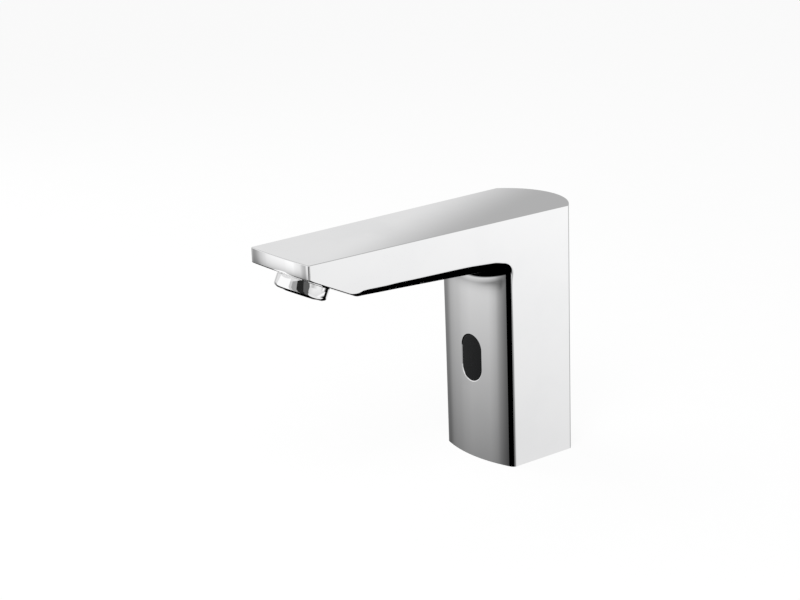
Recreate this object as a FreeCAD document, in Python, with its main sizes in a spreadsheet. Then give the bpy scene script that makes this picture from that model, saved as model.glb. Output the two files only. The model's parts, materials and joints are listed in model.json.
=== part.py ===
"""Infrared basin tap: a cast L-shaped body with a flat top, a crowned inner face and a bowed rear,
a screwed aerator set square to the sloping nose, an oval infrared window in the column, and inside
the column the eye, the latching solenoid valve, the non-return valve and the base closure.

Frame: millimetres, +Z up, the spout points to -Y, origin at the middle of the column's foot.
"""
import FreeCAD, Part
import math
import os

import Sketcher

Vector = FreeCAD.Vector
Rotation = FreeCAD.Rotation
Placement = FreeCAD.Placement

X_AXIS = Vector(1, 0, 0)
Y_AXIS = Vector(0, 1, 0)
Z_AXIS = Vector(0, 0, 1)

doc = FreeCAD.newDocument("sensor_tap")
sheet = doc.addObject("Spreadsheet::Sheet", "sizes")
PARTS = []

# ---------------------------------------------------------------- driving dimensions
DRIVING = {
    # outer form of the casting
    "height": 135.0,
    "side_length": 162.9,
    "side_depth": 40.0,
    "tip_width": 48.2,
    "rear_width": 56.1,
    "front_bow": 4.9,
    "rear_bow": 13.5,
    "tip_face_bow": 0.9,
    "tip_drop": 7.6,
    "knee_drop": 20.5,
    "root_drop": 25.0,
    "knee_run": 26.6,
    "tip_bow": 0.3,
    "knee_bow": 0.8,
    "root_bow": 2.8,
    "inner_radius": 7.5,
    "nose_radius": 0.9,
    "knee_radius": 2.2,
    "root_radius": 3.6,
    "column_top_radius": 3.4,
    "column_foot_radius": 2.8,
    "corner_radius": 0.9,
    "wall": 3.2,
    # hollows of the casting
    "roof_height": 117.0,
    "roof_boss_z": 106.0,
    "core_floor": 120.0,
    "core_ceiling": 132.0,
    "core_front": 6.2,
    # aerator
    "aerator_tilt": 26.0,
    "seat_run": 13.7,
    "seat_proud": 0.6,
    "thread_dia": 24.0,
    "thread_depth": 7.6,
    "boss_dia": 29.0,
    "collar_dia": 26.7,
    "collar_end": 5.7,
    "nose_end": 7.7,
    "flats_width": 24.8,
    # infrared window
    "window_width": 15.0,
    "window_height": 25.2,
    "window_z": 55.6,
    # water path
    "flow_y": -8.0,
    "valve_y": -5.0,
    "valve_z": 92.0,
    "valve_rad": 13.5,
    "stud_y": 10.0,
    "stud_bore": 6.8,
    "inlet_bore": 9.0,
    "lead_x": 13.0,
    "lead_dia": 3.8,
    "gasket_thick": 1.0,
    "plate_thick": 6.0,
    "plunger_travel": 2.8,
}


class Size:
    """A number together with the spreadsheet formula that it comes from."""

    def __init__(self, number, formula=None):
        self.number = float(number)
        self.formula = formula if formula is not None else "%.6g" % self.number

    @staticmethod
    def of(value):
        return value if isinstance(value, Size) else Size(value)

    def _join(self, other, sign, number):
        other = Size.of(other)
        return Size(number, "(%s %s %s)" % (self.formula, sign, other.formula))

    def __add__(self, other):
        return self._join(other, "+", self.number + Size.of(other).number)

    def __sub__(self, other):
        return self._join(other, "-", self.number - Size.of(other).number)

    def __mul__(self, other):
        return self._join(other, "*", self.number * Size.of(other).number)

    def __truediv__(self, other):
        return self._join(other, "/", self.number / Size.of(other).number)

    def __radd__(self, other):
        return Size.of(other) + self

    def __rsub__(self, other):
        return Size.of(other) - self

    def __rmul__(self, other):
        return Size.of(other) * self

    def __neg__(self):
        return Size(-self.number, "(-1 * %s)" % self.formula)


def size(alias):
    """The named cell of the sheet."""
    return Size(DRIVING[alias], "sizes.%s" % alias)


def fill_sheet():
    for row, (alias, number) in enumerate(DRIVING.items(), start=1):
        sheet.set("A%d" % row, alias)
        sheet.set("B%d" % row, "%g" % number)
        sheet.setAlias("B%d" % row, alias)
    doc.recompute()


fill_sheet()

# ---------------------------------------------------------------- places that follow from them
HALF_DEPTH = (size("side_depth") + size("front_bow") + size("rear_bow")) / 2
FRONT_Y = size("front_bow") - HALF_DEPTH
REAR_Y = HALF_DEPTH - size("rear_bow")
TIP_Y = REAR_Y - size("side_length")
KNEE_Y = TIP_Y + size("knee_run")
COLUMN_FREE = size("height") - size("root_drop") - size("inner_radius")
TOP = size("height")
WALL = size("wall")


def half_width(y):
    """Half the width between the two flat sides at a place along the tap."""
    gain = (size("rear_width") - size("tip_width")) / 2
    return size("tip_width") / 2 + gain * (y - TIP_Y) / size("side_length")


# ---------------------------------------------------------------- sketch and feature helpers
def bind(obj, prop, value):
    value = Size.of(value)
    if "sizes." in value.formula:
        obj.setExpression(prop, value.formula)


def new_body(label):
    body = doc.addObject("PartDesign::Body", label)
    body.Label = label
    return body


def origin_plane(body, role):
    return next(f for f in body.Origin.OriginFeatures if f.Role == role)


def new_sketch(body, role="XY_Plane", lift=0.0):
    """A sketch on one of the body's own planes, lifted along the plane's normal."""
    sketch = body.newObject("Sketcher::SketchObject", "outline")
    sketch.AttachmentSupport = [(origin_plane(body, role), "")]
    sketch.MapMode = "FlatFace"
    lift = Size.of(lift)
    sketch.AttachmentOffset = Placement(Vector(0, 0, lift.number), Rotation())
    bind(sketch, "AttachmentOffset.Base.z", lift)
    return sketch


def fix_coordinate(sketch, kind, geo, pos, value):
    value = Size.of(value)
    if abs(value.number) < 1e-9:
        axis = -2 if kind == "DistanceX" else -1
        sketch.addConstraint(Sketcher.Constraint("PointOnObject", geo, pos, axis))
        return
    if value.number > 0:
        rule = Sketcher.Constraint(kind, -1, 1, geo, pos, value.number)
    else:
        value = -value
        rule = Sketcher.Constraint(kind, geo, pos, -1, 1, value.number)
    index = sketch.addConstraint(rule)
    bind(sketch, "Constraints[%d]" % index, value)


def fix_point(sketch, geo, pos, x, y):
    fix_coordinate(sketch, "DistanceX", geo, pos, x)
    fix_coordinate(sketch, "DistanceY", geo, pos, y)


def point(corner):
    return Vector(Size.of(corner[0]).number, Size.of(corner[1]).number, 0)


def bowed_edge(start, end, bow):
    """Arc over a chord, swelling to the right of the walk from start to end, and its radius."""
    run = Size.of(end[0]) - start[0]
    rise = Size.of(end[1]) - start[1]
    half_squared = (run * run + rise * rise) / 4
    bow = Size.of(bow)
    radius = (half_squared + bow * bow) / (2 * bow)
    first, last = point(start), point(end)
    walk = (last - first).normalize()
    crown = (first + last) * 0.5 + Vector(walk.y, -walk.x, 0) * bow.number
    return Part.Arc(first, crown, last), radius


def outline(sketch, corners, bows=None):
    """Closed outline through the corners; bows maps an edge's number to its sagitta."""
    bows = bows or {}
    ends = []
    for i, corner in enumerate(corners):
        following = corners[(i + 1) % len(corners)]
        if i in bows:
            arc, radius = bowed_edge(corner, following, bows[i])
            geo = sketch.addGeometry(arc, False)
            index = sketch.addConstraint(Sketcher.Constraint("Radius", geo, radius.number))
            bind(sketch, "Constraints[%d]" % index, radius)
            forward = sketch.Geometry[geo].StartPoint.distanceToPoint(point(corner)) < 1e-6
            ends.append((geo, 1, 2) if forward else (geo, 2, 1))
        else:
            geo = sketch.addGeometry(Part.LineSegment(point(corner), point(following)), False)
            ends.append((geo, 1, 2))
    for i, corner in enumerate(corners):
        geo, begin, _ = ends[i]
        before, _, finish = ends[i - 1]
        sketch.addConstraint(Sketcher.Constraint("Coincident", before, finish, geo, begin))
        fix_point(sketch, geo, begin, corner[0], corner[1])


def circle(sketch, x, y, radius):
    radius = Size.of(radius)
    centre = Vector(Size.of(x).number, Size.of(y).number, 0)
    geo = sketch.addGeometry(Part.Circle(centre, Z_AXIS, radius.number), False)
    index = sketch.addConstraint(Sketcher.Constraint("Radius", geo, radius.number))
    bind(sketch, "Constraints[%d]" % index, radius)
    fix_point(sketch, geo, 3, x, y)


def pill(sketch, width, height, z=0.0):
    """Upright oval with round ends, centred on the sketch's Y axis."""
    half = Size.of(width) / 2
    reach = (Size.of(height) - Size.of(width)) / 2
    top, low = Size.of(z) + reach, Size.of(z) - reach
    upper = Part.ArcOfCircle(Part.Circle(Vector(0, top.number, 0), Z_AXIS, half.number), 0, math.pi)
    lower = Part.ArcOfCircle(
        Part.Circle(Vector(0, low.number, 0), Z_AXIS, half.number), math.pi, 2 * math.pi)
    g_up = sketch.addGeometry(upper, False)
    g_low = sketch.addGeometry(lower, False)
    left = Part.LineSegment(Vector(-half.number, top.number, 0), Vector(-half.number, low.number, 0))
    right = Part.LineSegment(Vector(half.number, low.number, 0), Vector(half.number, top.number, 0))
    g_left = sketch.addGeometry(left, False)
    g_right = sketch.addGeometry(right, False)
    for a, a_end, b, b_end in ((g_up, 2, g_left, 1), (g_left, 2, g_low, 1),
                               (g_low, 2, g_right, 1), (g_right, 2, g_up, 1)):
        sketch.addConstraint(Sketcher.Constraint("Tangent", a, a_end, b, b_end))
    fix_point(sketch, g_up, 3, 0, top)
    fix_coordinate(sketch, "DistanceY", g_low, 3, low)
    index = sketch.addConstraint(Sketcher.Constraint("Radius", g_up, half.number))
    bind(sketch, "Constraints[%d]" % index, half)


def pad(body, sketch, length, reverse=False):
    feature = body.newObject("PartDesign::Pad", "pad")
    feature.Profile = sketch
    feature.Length = Size.of(length).number
    bind(feature, "Length", length)
    feature.Reversed = reverse
    sketch.Visibility = False
    return feature


def pocket(body, sketch, length, reverse=False):
    feature = body.newObject("PartDesign::Pocket", "pocket")
    feature.Profile = sketch
    feature.Length = Size.of(length).number
    bind(feature, "Length", length)
    feature.Reversed = reverse
    return feature


def revolve(body, corners):
    """A turned piece: the half outline (radius, height) spun about the body's own Z axis."""
    sketch = new_sketch(body, "XZ_Plane")
    outline(sketch, corners)
    feature = body.newObject("PartDesign::Revolution", "turned")
    feature.Profile = sketch
    feature.ReferenceAxis = (sketch, ["V_Axis"])
    feature.Angle = 360.0
    return feature


def move(obj, x, y, z, rotation=None):
    """Puts a piece in its place in the tap."""
    x, y, z = Size.of(x), Size.of(y), Size.of(z)
    obj.Placement = Placement(Vector(x.number, y.number, z.number), rotation or Rotation())
    for name, value in (("x", x), ("y", y), ("z", z)):
        bind(obj, "Placement.Base.%s" % name, value)
    return obj


def keep(obj, label):
    obj.Label = label
    PARTS.append(obj)
    return obj


def turned(label, corners, x, y, z, rotation=None, part=True):
    body = new_body(label)
    revolve(body, corners)
    move(body, x, y, z, rotation)
    if part:
        keep(body, label)
    return body


def tube(outer, inner, low, high):
    """Half outline of a plain ring or pipe."""
    return [(inner, low), (outer, low), (outer, high), (inner, high)]


def rod(radius, low, high):
    return [(0, low), (radius, low), (radius, high), (0, high)]


def block(label, x, y, z, wide, deep, high):
    """Plain box from its lowest corner."""
    box = doc.addObject("Part::Box", label)
    for prop, value in (("Length", wide), ("Width", deep), ("Height", high)):
        setattr(box, prop, Size.of(value).number)
        bind(box, prop, value)
    return move(box, x, y, z)


def cylinder(label, x, y, z, radius, length, rotation=None):
    round_bar = doc.addObject("Part::Cylinder", label)
    round_bar.Radius = Size.of(radius).number
    round_bar.Height = Size.of(length).number
    bind(round_bar, "Radius", radius)
    bind(round_bar, "Height", length)
    return move(round_bar, x, y, z, rotation)


def fuse(label, shapes):
    joined = doc.addObject("Part::MultiFuse", label)
    joined.Shapes = shapes
    joined.Refine = True
    return joined


def cut(label, base, tool):
    left = doc.addObject("Part::Cut", label)
    left.Base = base
    left.Tool = tool
    left.Refine = True
    return left


def rounded(label, base, wanted, kind="Part::Fillet"):
    """Rounds edges of base. wanted(edge) returns None or the radii at the edge's two ends."""
    doc.recompute()
    chosen = []
    for number, edge in enumerate(base.Shape.Edges, start=1):
        radii = wanted(edge)
        if radii:
            chosen.append((number, radii[0], radii[1]))
    if not chosen:
        raise RuntimeError("%s: no edge found to round" % label)
    feature = doc.addObject(kind, label)
    feature.Base = base
    feature.Edges = chosen
    doc.recompute()
    if "Invalid" in feature.State or feature.Shape.isNull() or not feature.Shape.isValid():
        raise RuntimeError("%s: rounding failed" % label)
    return feature


# ---------------------------------------------------------------- casting: outer form
def casting_plan():
    """Plan of the whole tap, full height: two tapering flats, square tip, bowed rear."""
    body = new_body("casting_block")
    sketch = new_sketch(body)
    rear, tip = half_width(REAR_Y), half_width(TIP_Y)
    corners = [(rear, REAR_Y), (-rear, REAR_Y), (-tip, TIP_Y), (tip, TIP_Y)]
    outline(sketch, corners, {0: size("rear_bow"), 2: size("tip_face_bow")})
    pad(body, sketch, TOP)
    return body


def column_front():
    """Everything under the spout and in front of the bowed column face."""
    body = new_body("front_hollow")
    sketch = new_sketch(body, lift=-5)
    wide = half_width(FRONT_Y)
    far = Size.of(40)
    front = TIP_Y - 20
    corners = [(wide, FRONT_Y), (far, FRONT_Y), (far, front), (-far, front), (-far, FRONT_Y),
               (-wide, FRONT_Y)]
    outline(sketch, corners, {5: size("front_bow")})
    pad(body, sketch, TOP + 10)
    return body


def crown_section(body, y, drop, bow):
    """Section of the space under the crowned spout face at one place along the tap."""
    sketch = new_sketch(body, "XZ_Plane", lift=-1 * Size.of(y))
    wide = half_width(y)
    level = TOP - drop
    corners = [(-wide, level), (wide, level), (wide + 8, level), (wide + 8, -10),
               (-wide - 8, -10), (-wide - 8, level)]
    outline(sketch, corners, {0: bow})
    return sketch


def crown_space(label, stations):
    body = new_body(label)
    sections = [crown_section(body, *station) for station in stations]
    loft = body.newObject("PartDesign::AdditiveLoft", "loft")
    loft.Profile = sections[0]
    loft.Sections = sections[1:]
    loft.Ruled = True
    return body


def middle(edge):
    return edge.valueAt((edge.FirstParameter + edge.LastParameter) / 2)


def ends_of(edge):
    return edge.valueAt(edge.FirstParameter), edge.valueAt(edge.LastParameter)


def is_upright(edge):
    first, last = ends_of(edge)
    return (first - last).Length > 2 and abs(first.x - last.x) + abs(first.y - last.y) < 0.01


def near(a, b, within=0.1):
    return abs(a - Size.of(b).number) < within


def knee_edge(edge):
    at = middle(edge)
    return (10.0, 10.0) if near(at.x, 0) and near(at.y, KNEE_Y, 0.5) else None


def inner_edge(edge):
    at = middle(edge)
    radius = DRIVING["inner_radius"]
    inner = near(at.x, 0) and near(at.y, FRONT_Y - size("front_bow"), 1) and at.z > 90
    return (radius, radius) if inner and at.z < DRIVING["height"] - 5 else None


def corner_edge(edge):
    at = middle(edge)
    radius = DRIVING["corner_radius"]
    corner = near(at.y, TIP_Y) or near(at.y, REAR_Y)
    return (radius, radius) if corner and is_upright(edge) else None


def between(value, low, high, first, last):
    """Straight-line value from first at low to last at high."""
    return first + (last - first) * (value - low) / (high - low)


def lower_radius(point):
    """Rounding of the lower side edges: fine at the nose, widest at the root, then down the column."""
    nose, knee, root = (DRIVING[name] for name in ("nose_radius", "knee_radius", "root_radius"))
    bend = KNEE_Y.number
    under = FRONT_Y.number - DRIVING["inner_radius"]
    if point.y <= bend:
        return between(point.y, TIP_Y.number, bend, nose, knee)
    if point.y < under + 1:
        return between(point.y, bend, under, knee, root)
    return between(point.z, 0, COLUMN_FREE.number, DRIVING["column_foot_radius"],
                   DRIVING["column_top_radius"])


def lower_edge(edge):
    at = middle(edge)
    if at.z > DRIVING["height"] - 1 or at.z < 1 or at.y > FRONT_Y.number + 1:
        return None
    if abs(at.x) < 20 and at.y > TIP_Y.number + 0.1:
        return None
    if is_upright(edge) and at.z > 100:
        return None
    first, last = ends_of(edge)
    return (lower_radius(first), lower_radius(last))


def top_edge(edge):
    return (0.35, 0.35) if near(middle(edge).z, TOP, 0.01) else None


def casting_form():
    """The outer form of the casting, solid, with all its edges rounded."""
    slope = (size("knee_drop") - size("tip_drop")) / size("knee_run")
    fall = (size("root_drop") - size("knee_drop")) / (FRONT_Y - KNEE_Y)
    run_out = size("root_drop") + fall * (REAR_Y - FRONT_Y)
    nose = crown_space("under_nose", [
        (TIP_Y - 2, size("tip_drop") - slope * 2, size("tip_bow")),
        (KNEE_Y, size("knee_drop"), size("knee_bow"))])
    spout = crown_space("under_spout", [
        (KNEE_Y, size("knee_drop"), size("knee_bow")),
        (REAR_Y, run_out, size("root_bow") * 1.3)])
    below = doc.addObject("Part::MultiCommon", "below")
    below.Shapes = [column_front(), fuse("under", [nose, spout])]
    form = cut("form", casting_plan(), below)
    form = rounded("knee_rounded", form, knee_edge)
    form = rounded("inner_rounded", form, inner_edge)
    form = rounded("corners_rounded", form, corner_edge)
    form = rounded("sides_rounded", form, lower_edge)
    return rounded("top_eased", form, top_edge, "Part::Chamfer")


# ---------------------------------------------------------------- casting: hollows
AERATOR_TURN = Rotation(X_AXIS, -DRIVING["aerator_tilt"])
SEAT = size("seat_proud")
SEAT_Y = TIP_Y + size("seat_run")
SEAT_Z = TOP - size("tip_drop") - (size("knee_drop") - size("tip_drop")) * (
    size("seat_run") / size("knee_run"))
NIPPLE_Y = size("valve_y") - 9.5
SCREW_POSTS = [(20.0, -10.0), (-20.0, 10.0)]
PORT_LENGTH = 6.3
CLIP_X = 18.0
CLIP_Y = -12.9


def column_plan(label, low, high, gap):
    """Pad over the column's inside plan, drawn in by a gap."""
    body = new_body(label)
    sketch = new_sketch(body, lift=low)
    back = REAR_Y - 1.1
    front = FRONT_Y + 2.25
    rear_bow = size("rear_bow") + 1.1 - WALL
    front_bow = size("front_bow") + 2.25 - WALL
    rear = half_width(back) - WALL - gap
    fore = half_width(front) - WALL - gap
    corners = [(rear, back - gap), (-rear, back - gap), (-fore, front + gap), (fore, front + gap)]
    outline(sketch, corners, {0: rear_bow, 2: front_bow})
    pad(body, sketch, high - Size.of(low))
    return body


def column_hollow():
    roof_boss = cylinder("roof_boss", 0, NIPPLE_Y, size("roof_boss_z"), 9.0, 20)
    posts = [cylinder("screw_post", x, y, size("plate_thick") + size("gasket_thick"), 5.4, 15)
             for x, y in SCREW_POSTS]
    backward = Rotation(X_AXIS, -90)
    lugs = [cylinder("clip_lug", x, -30, size("window_z"), 3.4, 30 + CLIP_Y, backward)
            for x in (CLIP_X, -CLIP_X)]
    space = column_plan("column_space", -1, size("roof_height"), 0)
    return cut("column_hollow", space, fuse("lugs", [roof_boss] + posts + lugs))


def spout_hollow():
    """Waterway of the spout: its side profile across the full width, less the two side walls."""
    front, back = TIP_Y + size("core_front"), FRONT_Y - 6.7
    tip_floor = TOP - size("tip_drop") + WALL - 0.49 * size("core_front")
    profile = new_body("spout_profile")
    sketch = new_sketch(profile, "YZ_Plane", lift=-30)
    outline(sketch, [(back, TOP - size("root_drop") + WALL), (back, size("core_ceiling")),
                     (front, size("core_ceiling")), (front, tip_floor),
                     (KNEE_Y, TOP - size("knee_drop") + WALL)])
    pad(profile, sketch, 60)
    plan = new_body("spout_plan")
    sketch = new_sketch(plan, lift=size("roof_boss_z"))
    rear, fore = half_width(back) - WALL, half_width(front) - WALL
    outline(sketch, [(rear, back), (-rear, back), (-fore, front), (fore, front)])
    pad(plan, sketch, 40)
    space = doc.addObject("Part::MultiCommon", "spout_space")
    space.Shapes = [profile, plan]
    boss = cylinder("aerator_boss", 0, SEAT_Y - 0.438 * 8, SEAT_Z - 0.899 * 8,
                    size("boss_dia") / 2, 16.6, AERATOR_TURN)
    over_column = block("over_column", -18, back - 1, size("core_floor"), 36,
                        NIPPLE_Y + 8 - back + 1, size("core_ceiling") - size("core_floor"))
    return fuse("waterway", [cut("spout_hollow", space, boss), over_column])


def casting_bores():
    """Thread, seats and screw holes of the casting."""
    thread = size("thread_dia") / 2
    tilt = math.radians(DRIVING["aerator_tilt"])
    lean, rise = math.sin(tilt), math.cos(tilt)

    def nose_bore(label, low, radius, length):
        """Bore along the aerator's axis; low is its start, counted inward from the nose plane."""
        low = Size.of(low)
        return cylinder(label, 0, SEAT_Y + low * lean, SEAT_Z + low * rise, radius, length,
                        AERATOR_TURN)

    bores = [
        nose_bore("aerator_thread", -5, thread, size("thread_depth") - SEAT + 5),
        nose_bore("aerator_seat", -8, size("collar_dia") / 2 + 0.25, 8 - SEAT),
        nose_bore("aerator_inlet", 0, 9.0, 9.0),
        cylinder("nipple_bore", 0, NIPPLE_Y, size("roof_boss_z") - 1, 5.75, 8),
        cylinder("rising_bore", 0, NIPPLE_Y, size("roof_boss_z"), 4.5, 16),
    ]
    for x, y in SCREW_POSTS:
        bores.append(cylinder("post_hole", x, y, 6, 1.9, 13))
    backward = Rotation(X_AXIS, -90)
    for x in (CLIP_X, -CLIP_X):
        bores.append(cylinder("lug_hole", x, CLIP_Y - 9, size("window_z"), 1.25, 10, backward))
    bores.append(window_prism("window_hole", size("window_width"), size("window_height"), -40, 20))
    return fuse("bores", bores)


def window_prism(label, width, height, start_y, length):
    """Upright oval prism behind the window, from start_y towards the rear."""
    body = new_body(label)
    sketch = new_sketch(body, "XZ_Plane", lift=-1 * Size.of(start_y))
    pill(sketch, width, height, size("window_z"))
    pad(body, sketch, length, reverse=True)
    return body


def make_body():
    hollows = fuse("hollows", [column_hollow(), spout_hollow(), casting_bores()])
    casting = cut("body", casting_form(), hollows)
    keep(casting, "body")


def hex_head(label, circumradius, height, x, y, z, rotation=None):
    """Six-sided screw head."""
    head = doc.addObject("Part::Prism", label)
    head.Polygon = 6
    head.Circumradius = circumradius
    head.Height = height
    return move(head, x, y, z, rotation)


# ---------------------------------------------------------------- infrared eye
def front_pad(label, behind, back):
    """Pad between the column's bowed front, taken back by a distance, and a flat rear."""
    body = new_body(label)
    sketch = new_sketch(body, lift=size("window_z") - 20)
    wide = half_width(FRONT_Y)
    edge = FRONT_Y + behind
    corners = [(wide, edge), (wide, back), (-wide, back), (-wide, edge)]
    outline(sketch, corners, {3: size("front_bow")})
    pad(body, sketch, 40)
    return body


def common(label, shapes):
    shared = doc.addObject("Part::MultiCommon", label)
    shared.Shapes = shapes
    return shared


def make_eye():
    wide, high = size("window_width"), size("window_height")
    window = size("window_z")
    lens = common("lens", [window_prism("lens_prism", wide - 0.12, high - 0.12, -40, 20),
                           front_pad("lens_front", 0.12, -24.4)])
    flange = window_prism("flange", wide + 4.4, high + 4.4, -24.6, 2.1)
    keep(fuse("sensor_window", [lens, flange]), "sensor_window")

    ring = cut("ring", window_prism("ring_outer", wide + 4, high + 4, -40, 15.4),
               window_prism("ring_inner", wide + 0.4, high + 0.4, -41, 18))
    behind_wall = column_plan("behind_wall", window - 20, window + 20, 0)
    keep(common("window_gasket", [ring, behind_wall]), "window_gasket")

    tub = cut("sensor_housing", block("tub", -10, -22.5, window - 16, 20, 22.5 + CLIP_Y, 32),
              block("tub_space", -8.4, -23, window - 14.4, 16.8, 6.6, 28.8))
    keep(tub, "sensor_housing")
    keep(block("circuit_board", -8.2, -18.0, window - 14, 16.4, 1.6, 28), "circuit_board")
    forward = Rotation(X_AXIS, 90)
    lens_shape = [(0, 0), (2.5, 0), (2.5, 2.6), (2.0, 3.7), (1.0, 4.3), (0, 4.3)]
    turned("ir_emitter", lens_shape, 0, -18, window + 6.5, forward)
    turned("ir_receiver", lens_shape, 0, -18, window - 6.5, forward)
    keep(block("light_barrier", -8.2, -22.4, window - 0.6, 16.4, 4.4, 1.2), "light_barrier")

    strap = block("strap", -21.4, CLIP_Y, window - 4, 42.8, 0.8, 8)
    backward = Rotation(X_AXIS, -90)
    holes = [cylinder("strap_hole", x, CLIP_Y - 1, window, 1.6, 3, backward)
             for x in (CLIP_X, -CLIP_X)]
    keep(cut("sensor_clip", strap, fuse("strap_holes", holes)), "sensor_clip")
    screws = []
    for x in (CLIP_X, -CLIP_X):
        screws.append(cylinder("clip_shank", x, CLIP_Y - 8, window, 1.25, 9, backward))
        screws.append(hex_head("clip_head", 2.7, 1.6, x, CLIP_Y + 0.8, window, backward))
    keep(fuse("sensor_screws", screws), "sensor_screws")


# ---------------------------------------------------------------- foot of the column
def make_foot():
    flow, stud, lead = size("flow_y"), size("stud_y"), size("lead_x")
    low = size("gasket_thick")
    top = low + size("plate_thick")
    inlet, fixing = size("inlet_bore") / 2, size("stud_bore") / 2
    cable = size("lead_dia") / 2

    slab = column_plan("slab", low, top, 0.1)
    solids = [slab, cylinder("inlet_boss", 0, flow, low, 9.2, 15 - low),
              cylinder("stud_boss", 0, stud, low, 6.4, 17)]
    holes = [cylinder("inlet_thread", 0, flow, 0, inlet, 9.6),
             cylinder("adapter_seat", 0, flow, 9.5, 7.0, 6),
             cylinder("stud_thread", 0, stud, 0, fixing, 15),
             cylinder("lead_hole", lead, 0, 0, cable + 1.6, 8)]
    screws = []
    for x, y in SCREW_POSTS:
        holes.append(cylinder("screw_hole", x, y, 0, 1.9, 8))
        holes.append(cylinder("head_hole", x, y, 0, 3.7, 4.4))
        screws.append(hex_head("screw_head", 3.5, 2.5, x, y, 1.9))
        screws.append(cylinder("screw_shank", x, y, 4, 1.9, 14))
    keep(cut("base_plate", fuse("plate_solid", solids), fuse("plate_holes", holes)), "base_plate")
    keep(fuse("base_screws", screws), "base_screws")

    sheet_solid = column_plan("sheet", 0, low, 0.1)
    punched = [cylinder("inlet_gap", 0, flow, -1, 6.4, 3), cylinder("stud_gap", 0, stud, -1, 4.2, 3),
               cylinder("lead_gap", lead, 0, -1, cable + 1.6, 3)]
    keep(cut("base_gasket", sheet_solid, fuse("punched", punched)), "base_gasket")

    gland = [(cable, 0), (cable + 1.6, 0), (cable + 1.6, top), (cable + 2.9, top),
             (cable + 2.9, top + 1.4), (cable, top + 1.4)]
    turned("cable_grommet", gland, lead, 0, 0)

    adapter = [(4.2, 10.6), (6.95, 10.6), (6.95, 15), (8.5, 15), (8.5, 38), (4.9, 38), (4.9, 35),
               (3.55, 35), (3.55, 30), (6.2, 30), (6.2, 17), (4.2, 17)]
    turned("inlet_adapter", adapter, 0, flow, 0)
    turned("inlet_seal", tube(6.9, 4.7, 9.5, 10.6), 0, flow, 0)
    strainer = turned("strainer", rod(4.15, 12, 12.8), 0, flow, 0, part=False)
    keep(cut("inlet_filter", strainer, hex_holes("mesh", 3, 1.0, 0.75, 11, 3, 0, flow, 0)),
         "inlet_filter")

    poppet = [(0, 17), (5.0, 17), (6.12, 18.6), (6.12, 21.4), (5.3, 21.4), (5.3, 18.6), (0, 18.6)]
    cup = turned("poppet_cup", poppet, 0, flow, 0, part=False)
    slots = [block("slot", -7, flow - 1.8, 18.7, 14, 3.6, 5),
             block("cross_slot", -1.8, flow - 7, 18.7, 3.6, 14, 5)]
    keep(cut("check_valve_poppet", cup, fuse("slots", slots)), "check_valve_poppet")
    spring("check_valve_spring", 4.4, 0.4, 18.6, 30.0, 3.5, 0, flow, 0)

    port = size("valve_z") - size("valve_rad") - PORT_LENGTH
    turned("riser_tube", tube(3.5, 2.7, 30.4, port + PORT_LENGTH - 0.3), 0, flow, 0)
    seals = [turned("riser_seal", tube(4.9, 3.5, z, z + 1.9), 0, flow, 0, part=False)
             for z in (Size.of(35.1), port)]
    keep(fuse("riser_seals", seals), "riser_seals")


def hex_holes(label, rings, pitch, radius, start, length, x, y, z, rotation=None):
    """Honeycomb of six-sided prisms: rings of cells about a middle one, pitch from flat to flat."""
    body = new_body(label)
    sketch = new_sketch(body, lift=start)
    for q in range(-rings, rings + 1):
        for r in range(-rings, rings + 1):
            if abs(q + r) > rings:
                continue
            cx = pitch * (q + r / 2)
            cy = pitch * r * math.sqrt(3) / 2
            cell = [(cx + radius * math.sin(math.radians(60 * i)),
                     cy + radius * math.cos(math.radians(60 * i))) for i in range(6)]
            hexagon(sketch, cell)
    pad(body, sketch, length)
    return move(body, x, y, z, rotation)


def hexagon(sketch, cell):
    """Closed six-sided cell; its corners are blocked in place."""
    first = sketch.GeometryCount
    for i in range(6):
        side = Part.LineSegment(point(cell[i]), point(cell[(i + 1) % 6]))
        sketch.addGeometry(side, False)
    for i in range(6):
        sketch.addConstraint(Sketcher.Constraint("Block", first + i))


def spring(label, radius, wire, low, high, turns, x, y, z, rotation=None):
    """Coil spring of square wire between two heights of its own axis."""
    low, high = low + wire, high - wire
    helix = doc.addObject("Part::Helix", label + "_path")
    helix.Radius = radius
    helix.Height = high - low
    helix.Pitch = (high - low) / turns
    helix.Placement = Placement(Vector(0, 0, low), Rotation())
    section = doc.addObject("Part::RegularPolygon", label + "_wire")
    section.Polygon = 4
    section.Circumradius = wire
    section.Placement = Placement(Vector(radius, 0, low), Rotation(X_AXIS, 90))
    sweep = doc.addObject("Part::Sweep", label)
    sweep.Sections = [section]
    sweep.Spine = (helix, [])
    sweep.Solid = True
    sweep.Frenet = True
    return keep(move(sweep, x, y, z, rotation), label)


# ---------------------------------------------------------------- solenoid valve
VALVE_TURN = Rotation(X_AXIS, -90)
BONNET_SCREWS = [(10.4, 10.4), (-10.4, -10.4)]


def valve_piece(label, corners):
    """A turned piece on the valve's axis; heights count rearward from the diaphragm seat."""
    return turned(label, corners, 0, size("valve_y"), size("valve_z"), VALVE_TURN)


def flange(label, start, length):
    """Square flange of the valve, with its four screw holes."""
    body = new_body(label)
    sketch = new_sketch(body, lift=start)
    half = size("valve_rad")
    outline(sketch, [(-half, -half), (half, -half), (half, half), (-half, half)])
    pad(body, sketch, length)
    return move(body, 0, size("valve_y"), size("valve_z"), VALVE_TURN)


def on_valve(label, radius, start, length, x=0.0, y=0.0):
    """Cylinder along the valve's axis, offset sideways and upward."""
    return cylinder(label, x, size("valve_y") + start, size("valve_z") + y, radius, length,
                    VALVE_TURN)


def square_on_valve(label, half, start, length, high=None):
    """Box about the valve's axis; high, if given, is its other half width."""
    high = half if high is None else high
    y, z = size("valve_y") + start, size("valve_z")
    return block(label, -half, y, z - high, 2 * half, length, 2 * high)


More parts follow.
